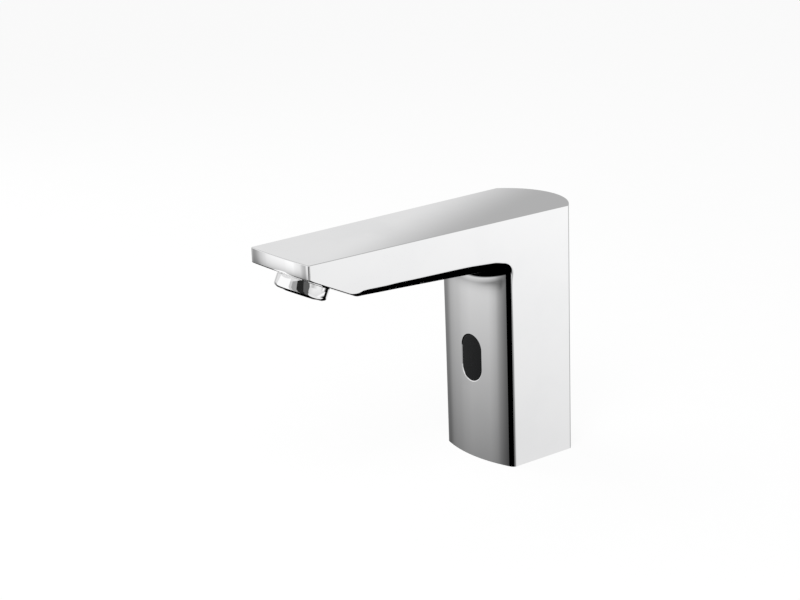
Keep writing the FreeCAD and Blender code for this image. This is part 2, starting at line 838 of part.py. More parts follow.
def make_valve():
    y, z, half = size("valve_y"), size("valve_z"), size("valve_rad")
    flow = size("flow_y")
    under = z - half
    port = under - PORT_LENGTH
    nipple_top = size("roof_boss_z") + 6.6
    solids = [flange("valve_block", -15.5, 15.5),
              cylinder("port_boss", 0, flow, port, 5.6, PORT_LENGTH),
              cylinder("nipple", 0, NIPPLE_Y, z + half, 5.0, nipple_top - z - half)]
    annulus = turned("annulus", tube(10.3, 6.1, -6.5, 1), 0, y, z, VALVE_TURN, part=False)
    hollows = [annulus, on_valve("rebate", 12.3, -0.8, 2), on_valve("outlet", 4.4, -14, 15),
               cylinder("rising", 0, NIPPLE_Y, z, 3.6, 30),
               cylinder("port", 0, flow, under - 1, 2.8, 5.5),
               cylinder("port_fit", 0, flow, port - 1, 3.52, PORT_LENGTH + 0.8),
               cylinder("port_seat", 0, flow, port - 1, 4.95, 3)]
    hollows += [on_valve("tapped", 1.3, -5, 6, sx, sz) for sx, sz in BONNET_SCREWS]
    keep(cut("valve_body", fuse("valve_solid", solids), fuse("valve_space", hollows)),
         "valve_body")
    turned("outlet_seal", tube(5.75, 5.0, nipple_top - 4, nipple_top - 1), 0, NIPPLE_Y, 0)

    valve_piece("diaphragm", tube(12.3, 3.3, -0.8, 0))
    valve_piece("diaphragm_core", [(0.6, -3.4), (3.3, -3.4), (3.3, 0), (6.0, 0), (6.0, 1.6),
                                   (0.6, 1.6)])

    cover_space = [on_valve("cover_space", 8.6, -1, 5.4), on_valve("cover_hole", 5.0, 3, 5)]
    cover_space += [on_valve("cover_screw", 1.6, -1, 8, sx, sz) for sx, sz in BONNET_SCREWS]
    keep(cut("valve_bonnet", flange("cover", 0, 5.6), fuse("cover_hollow", cover_space)),
         "valve_bonnet")
    screws = [on_valve("bonnet_shank", 1.3, -5, 11, sx, sz) for sx, sz in BONNET_SCREWS]
    screws += [hex_head("bonnet_head", 2.6, 1.8, sx, y + 5.6, z + sz, VALVE_TURN)
               for sx, sz in BONNET_SCREWS]
    keep(fuse("bonnet_screws", screws), "bonnet_screws")

    sleeve = [(4.08, 4.6), (5.0, 4.6), (5.0, 24.8), (0, 24.8), (0, 24), (4.08, 24)]
    valve_piece("core_tube", sleeve)
    valve_piece("pole_piece", rod(4.08, 18, 22))
    valve_piece("latch_magnet", rod(4.08, 22, 24))
    iron = [(0, 3.6), (2.2, 3.6), (2.2, 2.4), (4.0, 2.4), (4.0, 15), (2.3, 15), (2.3, 9), (0, 9)]
    valve_piece("plunger", iron)
    valve_piece("plunger_seal", rod(2.2, 1.6, 3.6))
    spring("plunger_spring", 1.7, 0.3, 9.0, 18.0, 4, 0, y, z, VALVE_TURN)

    bore = on_valve("coil_bore", 5.05, 5, 25)
    cheeks = [square_on_valve("cheek", 9.0, 8.6, 1), square_on_valve("cheek", 9.0, 21.8, 1)]
    reel = fuse("reel", cheeks + [on_valve("barrel", 6.0, 9, 13)])
    keep(cut("coil_bobbin", reel, bore), "coil_bobbin")
    valve_piece("coil_winding", tube(8.8, 6.0, 9.6, 21.8))
    yoke = cut("yoke", square_on_valve("strap", 10.4, 7.6, 16.4, 8),
               square_on_valve("strap_space", 9.1, 8.5, 14.5, 30))
    keep(cut("coil_yoke", yoke, on_valve("yoke_bore", 5.05, 5, 25)), "coil_yoke")


# ---------------------------------------------------------------- aerator
def nose_piece(label, corners, bows=None, part=True):
    """A turned piece on the aerator's axis; heights count inward from the nose plane."""
    body = new_body(label)
    sketch = new_sketch(body, "XZ_Plane")
    outline(sketch, corners, bows)
    feature = body.newObject("PartDesign::Revolution", "turned")
    feature.Profile = sketch
    feature.ReferenceAxis = (sketch, ["V_Axis"])
    feature.Angle = 360.0
    move(body, 0, SEAT_Y, SEAT_Z, AERATOR_TURN)
    if part:
        keep(body, label)
    return body


def nose_bars(label, wide, deep, start, length):
    """Box on the aerator's axis, in the axis' own frame."""
    body = new_body(label)
    sketch = new_sketch(body, lift=start)
    x0, x1 = wide
    outline(sketch, [(x0, -deep), (x1, -deep), (x1, deep), (x0, deep)])
    pad(body, sketch, length)
    return move(body, 0, SEAT_Y, SEAT_Z, AERATOR_TURN)


def make_aerator():
    outer = size("collar_dia") / 2
    thread = size("thread_dia") / 2 - 0.05
    collar, nose = -size("collar_end"), -size("nose_end")
    sleeve = [(10.2, collar + 0.2), (8.6, collar + 0.2), (8.6, nose), (8.9, nose),
              (11.6, nose + 0.45), (12.95, nose + 1.15), (outer, collar), (outer, -SEAT),
              (thread, -SEAT), (thread, 5.8), (10.2, 5.8)]
    shell = nose_piece("shell", sleeve, part=False)
    half = size("flats_width") / 2
    reach = 1 - nose - SEAT - 1.9
    flats = fuse("flats", [nose_bars("flat_right", (half, half + 4), 15, nose - 1, reach),
                           nose_bars("flat_left", (-half - 4, -half), 15, nose - 1, reach)])
    keep(cut("aerator_housing", shell, flats), "aerator_housing")

    nose_piece("aerator_washer", tube(11.6, 9.0, 5.9, size("thread_depth") - SEAT))
    cup = [(8.8, collar + 0.3), (10.12, collar + 0.3), (10.12, 4.4), (0, 4.4), (0, 3.2),
           (8.8, 3.2)]
    cup = nose_piece("cup", cup, part=False)
    place = (0, SEAT_Y, SEAT_Z, AERATOR_TURN)
    jets = hex_holes("jets", 1, 6.2, 1.1, 3, 2, *place)
    keep(cut("aerator_cartridge", cup, jets), "aerator_cartridge")
    nose_piece("flow_regulator", tube(4.6, 2.2, 4.4, 5.8))
    disc = nose_piece("disc", rod(8.8, collar + 0.4, collar + 1.4), part=False)
    cells = hex_holes("cells", 3, 2.2, 1.1, collar - 1, 4, *place)
    keep(cut("aerator_screen", disc, cells), "aerator_screen")


# ---------------------------------------------------------------- check and export
def export_parts():
    doc.recompute()
    for obj in doc.Objects:
        if "Invalid" in obj.State or "Error" in obj.State:
            raise RuntimeError("%s is in state %s" % (obj.Name, obj.State))
    os.makedirs("parts", exist_ok=True)
    for obj in PARTS:
        shape = obj.Shape
        if shape.isNull() or not shape.isValid() or not shape.Solids:
            raise RuntimeError("%s has no sound shape" % obj.Label)
        shape.exportStep("parts/%s.step" % obj.Label)


make_body()
make_eye()
make_foot()
make_valve()
make_aerator()
export_parts()
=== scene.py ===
"""The looks of a chrome sensor tap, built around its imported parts.

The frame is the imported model's: +Z is up, -Y runs towards the spout's tip and the
column stands on z = 0. Sizes are written in millimetres and angles in degrees, and
meshes are made in metres.
"""

import json
import logging
import math
from dataclasses import dataclass, field
from enum import Enum
from typing import Callable, Sequence

import bmesh
import bpy
import numpy as np
from mathutils import Matrix, Vector
from mathutils.bvhtree import BVHTree
from mathutils.geometry import tessellate_polygon

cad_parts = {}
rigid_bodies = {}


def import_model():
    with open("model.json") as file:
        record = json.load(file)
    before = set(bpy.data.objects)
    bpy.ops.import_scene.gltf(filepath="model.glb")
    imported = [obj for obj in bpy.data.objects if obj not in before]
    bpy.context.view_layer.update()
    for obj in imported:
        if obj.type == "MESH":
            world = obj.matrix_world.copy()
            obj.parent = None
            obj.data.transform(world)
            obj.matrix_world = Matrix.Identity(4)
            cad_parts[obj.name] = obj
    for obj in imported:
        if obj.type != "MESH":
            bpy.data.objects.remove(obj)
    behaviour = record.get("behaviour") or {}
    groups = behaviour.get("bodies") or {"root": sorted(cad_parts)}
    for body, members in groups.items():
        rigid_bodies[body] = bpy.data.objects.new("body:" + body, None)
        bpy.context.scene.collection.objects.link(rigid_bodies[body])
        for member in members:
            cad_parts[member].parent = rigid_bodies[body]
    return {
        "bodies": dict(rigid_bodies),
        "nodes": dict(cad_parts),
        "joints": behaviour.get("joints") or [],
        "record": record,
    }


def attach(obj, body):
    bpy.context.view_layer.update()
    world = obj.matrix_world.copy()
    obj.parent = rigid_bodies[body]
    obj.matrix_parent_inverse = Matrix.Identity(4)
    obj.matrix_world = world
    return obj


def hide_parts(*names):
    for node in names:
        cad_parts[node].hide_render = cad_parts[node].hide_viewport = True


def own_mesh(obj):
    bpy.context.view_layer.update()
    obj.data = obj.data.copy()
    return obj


LOG = logging.getLogger("sensor_tap")
MM = 0.001
PICTURE_WIDTH = 800
NORMAL_LAYER = "kept_normal"
WELD, SLIVER, PACKED_WELD = 2e-7, 1e-8, 1e-6

Triple = tuple[float, float, float]


class Ray(Enum):
    """The kinds of ray that a stage object can be hidden from."""

    CAMERA = "visible_camera"
    DIFFUSE = "visible_diffuse"
    GLOSSY = "visible_glossy"
    TRANSMISSION = "visible_transmission"
    SHADOW = "visible_shadow"


class Graph:
    """Adds nodes to a shader tree and links them."""

    def __init__(self, tree: bpy.types.NodeTree) -> None:
        """Keeps the tree that the nodes go in."""
        self.tree = tree

    def node(self, kind: str, **settings: object) -> bpy.types.Node:
        """Adds one node.

        Args:
            kind: the node's type name.
            settings: attributes to set on it.

        Returns:
            The new node.
        """
        made = self.tree.nodes.new(kind)
        for name, value in settings.items():
            setattr(made, name, value)
        return made

    def feed(self, socket: bpy.types.NodeSocket, value: object) -> None:
        """Links a socket, or sets its default when the value is plain.

        Args:
            socket: the input that is fed.
            value: an output, a plain value, or None to leave the input alone.
        """
        if isinstance(value, bpy.types.NodeSocket):
            self.tree.links.new(value, socket)
        elif value is not None:
            socket.default_value = value

    def math(self, operation: str, *values: object) -> bpy.types.NodeSocket:
        """Adds a Math node.

        Args:
            operation: what it works out.
            values: sockets or numbers for its inputs.

        Returns:
            Its output.
        """
        made = self.node("ShaderNodeMath", operation=operation)
        for socket, value in zip(made.inputs, values):
            self.feed(socket, value)
        return made.outputs[0]

    def ramp(self, value: object, low: float, high: float, start: float = 0.0,
             end: float = 1.0, smooth: bool = True) -> bpy.types.NodeSocket:
        """Maps a range of values to another one.

        Args:
            value: the socket or number that is read.
            low: where the range starts.
            high: where the range ends.
            start: what comes out at low.
            end: what comes out at high.
            smooth: whether the ends are eased.

        Returns:
            The mapped value.
        """
        made = self.node("ShaderNodeMapRange",
                         interpolation_type="SMOOTHSTEP" if smooth else "LINEAR")
        for name, given in (("Value", value), ("From Min", low), ("From Max", high),
                            ("To Min", start), ("To Max", end)):
            self.feed(made.inputs[name], given)
        return made.outputs["Result"]

    def curve(self, value: object, stops: Sequence[tuple[float, float]]
              ) -> bpy.types.NodeSocket:
        """Looks a value up in a list of stops with straight runs between them.

        Args:
            value: the socket that is read.
            stops: (where, height) pairs in growing order.

        Returns:
            The height at that value.
        """
        low, high = stops[0][0], stops[-1][0]
        place = self.ramp(value, low, high, smooth=False)
        made = self.node("ShaderNodeValToRGB")
        band = made.color_ramp
        while len(band.elements) > 1:
            band.elements.remove(band.elements[-1])
        for index, (where, height) in enumerate(stops):
            spot = (where - low) / (high - low)
            mark = band.elements[0] if index == 0 else band.elements.new(spot)
            mark.position = spot
            mark.color = (height, height, height, 1.0)
        self.feed(made.inputs["Fac"], place)
        return made.outputs["Color"]

    def blend(self, factor: object, first: object, second: object,
              kind: str = "MIX") -> bpy.types.NodeSocket:
        """Combines two colours.

        Args:
            factor: how much of the second one counts.
            first: a colour, a grey or a socket.
            second: the other one.
            kind: how they combine.

        Returns:
            The result.
        """
        made = self.node("ShaderNodeMix", data_type="RGBA", blend_type=kind)
        self.feed(made.inputs["Factor"], factor)
        colours = [socket for socket in made.inputs if socket.type == "RGBA"]
        for socket, value in zip(colours, (first, second)):
            if isinstance(value, (int, float)):
                value = (value, value, value, 1.0)
            self.feed(socket, value)
        return next(socket for socket in made.outputs if socket.type == "RGBA")


@dataclass
class Viewpoint:
    """The camera, at the photograph's angle and field of view."""

    target: Triple = (0.16, -75.4, 97.6)
    distance: float = 885.6
    azimuth: float = 51.98
    elevation: float = 17.01
    roll: float = -2.14
    focal_pixels: float = 1753.41
    sensor: float = 36.0
    sight: float = 50.0

    def build(self) -> None:
        """Makes the camera and hands it to the scene."""
        turn, lift, lean = (math.radians(v) for v in (self.azimuth, self.elevation, self.roll))
        back = Vector((math.sin(turn) * math.cos(lift), -math.cos(turn) * math.cos(lift),
                       math.sin(lift)))
        level = (-back).cross(Vector((0, 0, 1))).normalized()
        rise = level.cross(-back).normalized()
        right = math.cos(lean) * level + math.sin(lean) * rise
        upward = math.cos(lean) * rise - math.sin(lean) * level
        lens = bpy.data.cameras.new("camera")
        lens.sensor_width = self.sensor
        lens.lens = self.focal_pixels * self.sensor / PICTURE_WIDTH
        lens.clip_end = self.sight
        camera = bpy.data.objects.new("camera", lens)
        place = Matrix((right, upward, back)).transposed().to_4x4()
        place.translation = (Vector(self.target) + back * self.distance) * MM
        camera.matrix_world = place
        bpy.context.scene.collection.objects.link(camera)
        bpy.context.scene.camera = camera


@dataclass
class ReflectionCard:
    """A glowing or black strip round an upright line, seen only in polished metal: it puts painted
    dark and light reflection bands into the chrome.
    """

    name: str
    x: float
    y: float
    radius: float
    turns: tuple[float, float]
    heights: tuple[float, float]
    tone: float = 0.0
    columns: int = 17

    def ink(self) -> bpy.types.Material:
        """The strip's even glow, black for a tone of 0: the painted reflection that the chrome
        shows of it.

        Returns:
            The material.
        """
        made = bpy.data.materials.new(self.name)
        made.use_nodes = True
        graph = Graph(made.node_tree)
        graph.tree.nodes.clear()
        glow = graph.node("ShaderNodeEmission")
        glow.inputs["Color"].default_value = (self.tone, self.tone, self.tone, 1.0)
        graph.feed(graph.node("ShaderNodeOutputMaterial").inputs["Surface"], glow.outputs[0])
        return made

    def build(self) -> None:
        """Makes the strip."""
        plan = [(self.x + self.radius * math.cos(turn), self.y + self.radius * math.sin(turn))
                for turn in np.radians(np.linspace(*self.turns, self.columns))]
        points = [(x * MM, y * MM, z * MM) for z in self.heights for x, y in plan]
        count = self.columns
        faces = [(i, i + 1, i + 1 + count, i + count) for i in range(count - 1)]
        mesh = bpy.data.meshes.new(self.name)
        mesh.from_pydata(points, [], faces)
        mesh.materials.append(self.ink())
        card = add_object(self.name, mesh)
        # Seen by glossy rays only: the strip lights nothing and casts no shadow, and shows only as
        # a painted reflection in the chrome.
        for ray in Ray:
            setattr(card, ray.value, ray is Ray.GLOSSY)


@dataclass
class Studio:
    """The floor, the lamps, the light room that polished metal mirrors, and strips that put
    painted reflections into that metal.

    A direction in the room is given by its turn, from +X or -X towards +Y, and by its tilt
    above the horizon. A change is written as where it starts and where it ends, and then the
    tones there. The lamps' places are in metres, as (name, place, size, watts).
    """

    floor_radius: float = 3.0
    floor_tone: float = 0.86
    floor_spread: float = 0.01
    floor_grain: float = 40.0
    floor_glow: float = 0.9
    room_level: float = 0.55
    horizon: tuple[float, float] = (-6.0, 2.0)
    under_floor: tuple[float, float] = (-26.6, -24.4)
    around: tuple = (
        (-90, 0.10), (-80, 0.18), (-77, 0.26), (-74, 0.40), (-71, 0.56), (-68, 0.80),
        (-64.5, 0.92), (-61, 1.0), (-50, 1.0), (-40, 1.0), (-30, 0.90), (-25, 0.81),
        (-19, 0.76), (-13, 0.66), (-7, 0.38), (-2, 0.28), (4, 0.42), (14, 0.66), (26, 0.83),
        (40, 0.91), (44, 0.93), (56, 0.70), (70, 0.35), (82, 0.12), (90, 0.08))
    front_side: tuple[float, float] = (-8.0, 10.0)
    front_fall: tuple = (-22.5, -11.5, 0.24, 1.02)
    flank_fall: tuple = (-21.7, -14.4, 0.86, 1.05)
    lip_tilts: tuple[float, float] = (-23.5, -22.5)
    lip_turns: tuple[float, float] = (20.0, 30.0)
    slant_pull: float = 2.1
    slant_shade: tuple = (108.4, 112.0, 0.44, 0.765)
    lamps: tuple = (("key_lamp", (0.5, -0.6, 0.9), 0.8, 9.0),
                    ("fill_lamp", (-0.7, -0.2, 0.7), 0.9, 4.0))
    lamp_aim: Triple = (0.0, -0.06, 0.06)
    # Reflection-only strips: the first two paint the dark lines on the column's near edge and the
    # tip's near edge, and the five ring strips paint the light, grey and dark bands on the aerator
    # ring.
    cards: tuple = (
        ReflectionCard("near_edge_card", 24.6, -23.2, 6.5, (-101.0, -18.0), (-3.0, 108.5)),
        ReflectionCard("near_tip_card", 23.2, -146.4, 2.6, (-98.0, -36.0), (127.0, 134.8), 0.16),
        ReflectionCard("ring_card_1", 0.0, -135.5, 15.5, (-116.0, -68.0), (108.0, 127.0), 1.0),
        ReflectionCard("ring_card_2", 0.0, -135.5, 15.5, (-68.0, -60.0), (108.0, 125.5), 0.62),
        ReflectionCard("ring_card_3", 0.0, -135.5, 15.5, (-60.0, -46.0), (108.0, 125.5), 0.36),
        ReflectionCard("ring_card_4", 0.0, -135.5, 15.5, (-46.0, -29.0), (108.0, 125.5), 0.02),
        ReflectionCard("ring_card_5", 0.0, -135.5, 15.5, (-29.0, -14.0), (108.0, 125.5), 0.11),
    )

    def build(self) -> None:
        """Sets the room up."""
        self._room()
        self._floor()
        self._lamps()
        for card in self.cards:
            card.build()

    def _room(self) -> None:
        """Builds the light room.

        It is white to the camera and plain to matt surfaces, and shows polished ones pale and
        dark panels by world direction.
        """
        world = bpy.data.worlds.new("light_room")
        world.use_nodes = True
        bpy.context.scene.world = world
        graph = Graph(world.node_tree)
        world.node_tree.nodes.clear()
        ray = graph.node("ShaderNodeTexCoord").outputs["Generated"]
        split = graph.node("ShaderNodeSeparateXYZ")
        graph.feed(split.inputs[0], ray)
        side = graph.math("ABSOLUTE", split.outputs["X"])
        depth, lift = split.outputs["Y"], split.outputs["Z"]
        turn = graph.math("DEGREES", graph.math("ARCTAN2", depth, side))
        tilt = graph.math("DEGREES", graph.math("ARCSINE", lift))
        lower = self._lower_room(graph, turn, tilt)
        upper = self._upper_room(graph, turn, tilt)
        mirrored = graph.blend(graph.ramp(tilt, *self.horizon), lower, upper)
        steep = graph.ramp(tilt, *self.under_floor, 1.0, 0.0)
        mirrored = graph.blend(steep, mirrored, 0.0)
        paths = graph.node("ShaderNodeLightPath").outputs
        plain = graph.blend(paths["Is Glossy Ray"], self.room_level, mirrored)
        shown = graph.blend(paths["Is Camera Ray"], plain, 1.0)
        glow = graph.node("ShaderNodeBackground")
        graph.feed(glow.inputs["Color"], shown)
        graph.feed(graph.node("ShaderNodeOutputWorld").inputs["Surface"],
                   glow.outputs["Background"])

    def _lower_room(self, graph: Graph, turn: object, tilt: object) -> object:
        """The panels below the horizon, which the upright faces mirror.

        Args:
            graph: the tree that is built.
            turn: degrees around, from +X or -X towards +Y.
            tilt: degrees above the horizon.

        Returns:
            The brightness.
        """
        around = graph.curve(turn, self.around)
        front = graph.ramp(turn, *self.front_side, 1.0, 0.0)
        fall = graph.blend(front, graph.ramp(tilt, *self.flank_fall, smooth=False),
                           graph.ramp(tilt, *self.front_fall, smooth=False))
        lit = graph.blend(1.0, around, fall, "MULTIPLY")
        lip = graph.math("MULTIPLY", graph.ramp(tilt, *self.lip_tilts, 1.0, 0.0),
                         graph.ramp(turn, *self.lip_turns))
        return graph.blend(lip, lit, 1.0)

    def _upper_room(self, graph: Graph, turn: object, tilt: object) -> object:
        """The ceiling, which the top face mirrors as a slanting soft shade.

        Args:
            graph: the tree that is built.
            turn: degrees around, from +X or -X towards +Y.
            tilt: degrees above the horizon.

        Returns:
            The brightness.
        """
        slant = graph.math("SUBTRACT", graph.math("SUBTRACT", 180.0, turn),
                           graph.math("MULTIPLY", tilt, self.slant_pull))
        return graph.ramp(slant, *self.slant_shade)

    def _floor(self) -> None:
        """Lays a pale round floor that shows white but keeps a soft shadow."""
        mesh = bpy.data.meshes.new("floor")
        form = bmesh.new()
        bmesh.ops.create_circle(form, cap_ends=True, radius=self.floor_radius, segments=96)
        form.to_mesh(mesh)
        form.free()
        floor = add_object("floor", mesh)
        floor.visible_glossy = False
        material = bpy.data.materials.new("pale_floor")
        material.use_nodes = True
        graph = Graph(material.node_tree)
        graph.tree.nodes.clear()
        grain = graph.node("ShaderNodeTexNoise")
        graph.feed(grain.inputs["Vector"], graph.node("ShaderNodeTexCoord").outputs["Object"])
        grain.inputs["Scale"].default_value = self.floor_grain
        tone = graph.ramp(grain.outputs["Fac"], 0.3, 0.7, self.floor_tone - self.floor_spread,
                          self.floor_tone + self.floor_spread)
        matt = graph.node("ShaderNodeBsdfDiffuse")
        graph.feed(matt.inputs["Color"], tone)
        white = graph.node("ShaderNodeEmission")
        paths = graph.node("ShaderNodeLightPath").outputs
        mix = graph.node("ShaderNodeMixShader")
        seen = graph.math("MAXIMUM", paths["Is Camera Ray"],
                          graph.math("MAXIMUM", paths["Is Glossy Ray"],
                                     paths["Is Transmission Ray"]))
        graph.feed(mix.inputs["Fac"], graph.math("MULTIPLY", seen, self.floor_glow))
        graph.feed(mix.inputs[1], matt.outputs[0])
        graph.feed(mix.inputs[2], white.outputs[0])
        graph.feed(graph.node("ShaderNodeOutputMaterial").inputs["Surface"], mix.outputs[0])
        mesh.materials.append(material)

    def _lamps(self) -> None:
        """Hangs two wide soft lamps."""
        for name, spot, size, power in self.lamps:
            light = bpy.data.lights.new(name, "AREA")
            light.shape = "DISK"
            light.size = size
            light.energy = power
            lamp = bpy.data.objects.new(name, light)
            lamp.location = spot
            aim = Vector(self.lamp_aim) - Vector(spot)
            lamp.rotation_euler = aim.to_track_quat("-Z", "Y").to_euler()
            lamp.visible_glossy = False
            bpy.context.scene.collection.objects.link(lamp)


@dataclass
class Skin:
    """Faces in millimetres, gathered with the exact normal of each of their corners."""

    points: list = field(default_factory=list)
    faces: list = field(default_factory=list)
    normals: list = field(default_factory=list)

    def patch(self, points: Sequence, normals: Sequence) -> None:
        """Adds one face.

        Args:
            points: its corners, in either turning sense.
            normals: one normal for each corner, or a single one for all.
        """
        corners = [Vector(p) for p in points]
        given = [Vector(n) for n in normals] if len(normals) == len(corners) else [
            Vector(normals[0])] * len(corners)
        facing = sum(given, Vector())
        area = Vector()
        for first, second in zip(corners, corners[1:] + corners[:1]):
            area += first.cross(second)
        if area.dot(facing) < 0:
            corners, given = corners[::-1], given[::-1]
        start = len(self.points)
        self.points.extend(corners)
        self.faces.append(list(range(start, start + len(corners))))
        self.normals.extend(given)

    def grid(self, points: np.ndarray, normals: np.ndarray,
             keep: Callable[[int, int], bool] = lambda row, column: True) -> None:
        """Adds the quads of a net of points.

        Args:
            points: rows by columns by three.
            normals: the same shape.
            keep: tells whether the quad at a row and a column is wanted.
        """
        for i in range(len(points) - 1):
            for j in range(len(points[0]) - 1):
                if keep(i, j):
                    ring = [(i, j), (i, j + 1), (i + 1, j + 1), (i + 1, j)]
                    self.patch([points[a] for a in ring], [normals[a] for a in ring])

    def mesh(self, name: str) -> bpy.types.Mesh:
        """Closes the faces into one mesh in metres that keeps the normals as an attribute.

        Args:
            name: what the mesh is called.

        Returns:
            The mesh.
        """
        rough = bpy.data.meshes.new(name)
        rough.from_pydata([tuple(p * MM) for p in self.points], [], self.faces)
        store = rough.attributes.new(NORMAL_LAYER, "FLOAT_VECTOR", "CORNER")
        flat = [value for normal in self.normals for value in normal.normalized()]
        store.data.foreach_set("vector", flat)
        form = bmesh.new()
        form.from_mesh(rough)
        bmesh.ops.remove_doubles(form, verts=form.verts, dist=WELD)
        bmesh.ops.dissolve_degenerate(form, edges=form.edges, dist=SLIVER)
        form.to_mesh(rough)
        form.free()
        return rough


def settle_normals(mesh: bpy.types.Mesh, angle: float = 30.0) -> None:
    """Turns the kept normals into the mesh's own, and smooths the faces that have none.

    Args:
        mesh: a mesh with or without kept normals.
        angle: degrees above which an edge without kept normals stays sharp.
    """
    mesh.shade_smooth()
    mesh.set_sharp_from_angle(angle=math.radians(angle))
    store = mesh.attributes.get(NORMAL_LAYER)
    if store is None:
        return
    flat = np.zeros(len(mesh.loops) * 3, dtype=np.float32)
    store.data.foreach_get("vector", flat)
    wanted = flat.reshape(-1, 3)
    length = np.linalg.norm(wanted, axis=1, keepdims=True)
    wanted = np.where(length > 0.5, wanted / np.maximum(length, 1e-6), 0.0)
    mesh.attributes.remove(store)
    mesh.normals_split_custom_set([tuple(normal) for normal in wanted])


def add_object(name: str, mesh: bpy.types.Mesh) -> bpy.types.Object:
    """Puts a mesh into the scene as an object at the origin.

    Args:
        name: what the object is called.
        mesh: its mesh.

    Returns:
        The object.
    """
    made = bpy.data.objects.new(name, mesh)
    bpy.context.scene.collection.objects.link(made)
    return made


def drop_object(item: bpy.types.Object) -> None:
    """Takes a helper object and its mesh out of the file.

    Args:
        item: the object.
    """
    mesh = item.data
    bpy.data.objects.remove(item, do_unlink=True)
    bpy.data.meshes.remove(mesh)


def merged_mesh(node: str, name: str) -> bpy.types.Mesh:
    """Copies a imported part's mesh and merges its loose triangles.

    Args:
        node: the part.
        name: what the copy is called.

    Returns:
        The copy.
    """
    form = bmesh.new()
    form.from_mesh(bpy.data.objects[node].data)
    bmesh.ops.remove_doubles(form, verts=form.verts, dist=PACKED_WELD)
    mesh = bpy.data.meshes.new(name)
    form.to_mesh(mesh)
    form.free()
    return mesh


def boolean(mesh: bpy.types.Mesh, tool: bpy.types.Mesh, operation: str) -> bpy.types.Mesh:
    """Combines two closed meshes exactly.

    Args:
        mesh: the one that is kept.
        tool: the other one; it is used up.
        operation: UNION, DIFFERENCE or INTERSECT.

    Returns:
        The new mesh.
    """
    body = add_object(mesh.name, mesh)
    other = add_object("tool", tool)
    step = body.modifiers.new("combine", "BOOLEAN")
    step.operation = operation
    step.solver = "EXACT"
    step.object = other
    graph = bpy.context.evaluated_depsgraph_get()
    made = bpy.data.meshes.new_from_object(body.evaluated_get(graph))
    body.modifiers.remove(step)
    drop_object(other)
    drop_object(body)
    return made


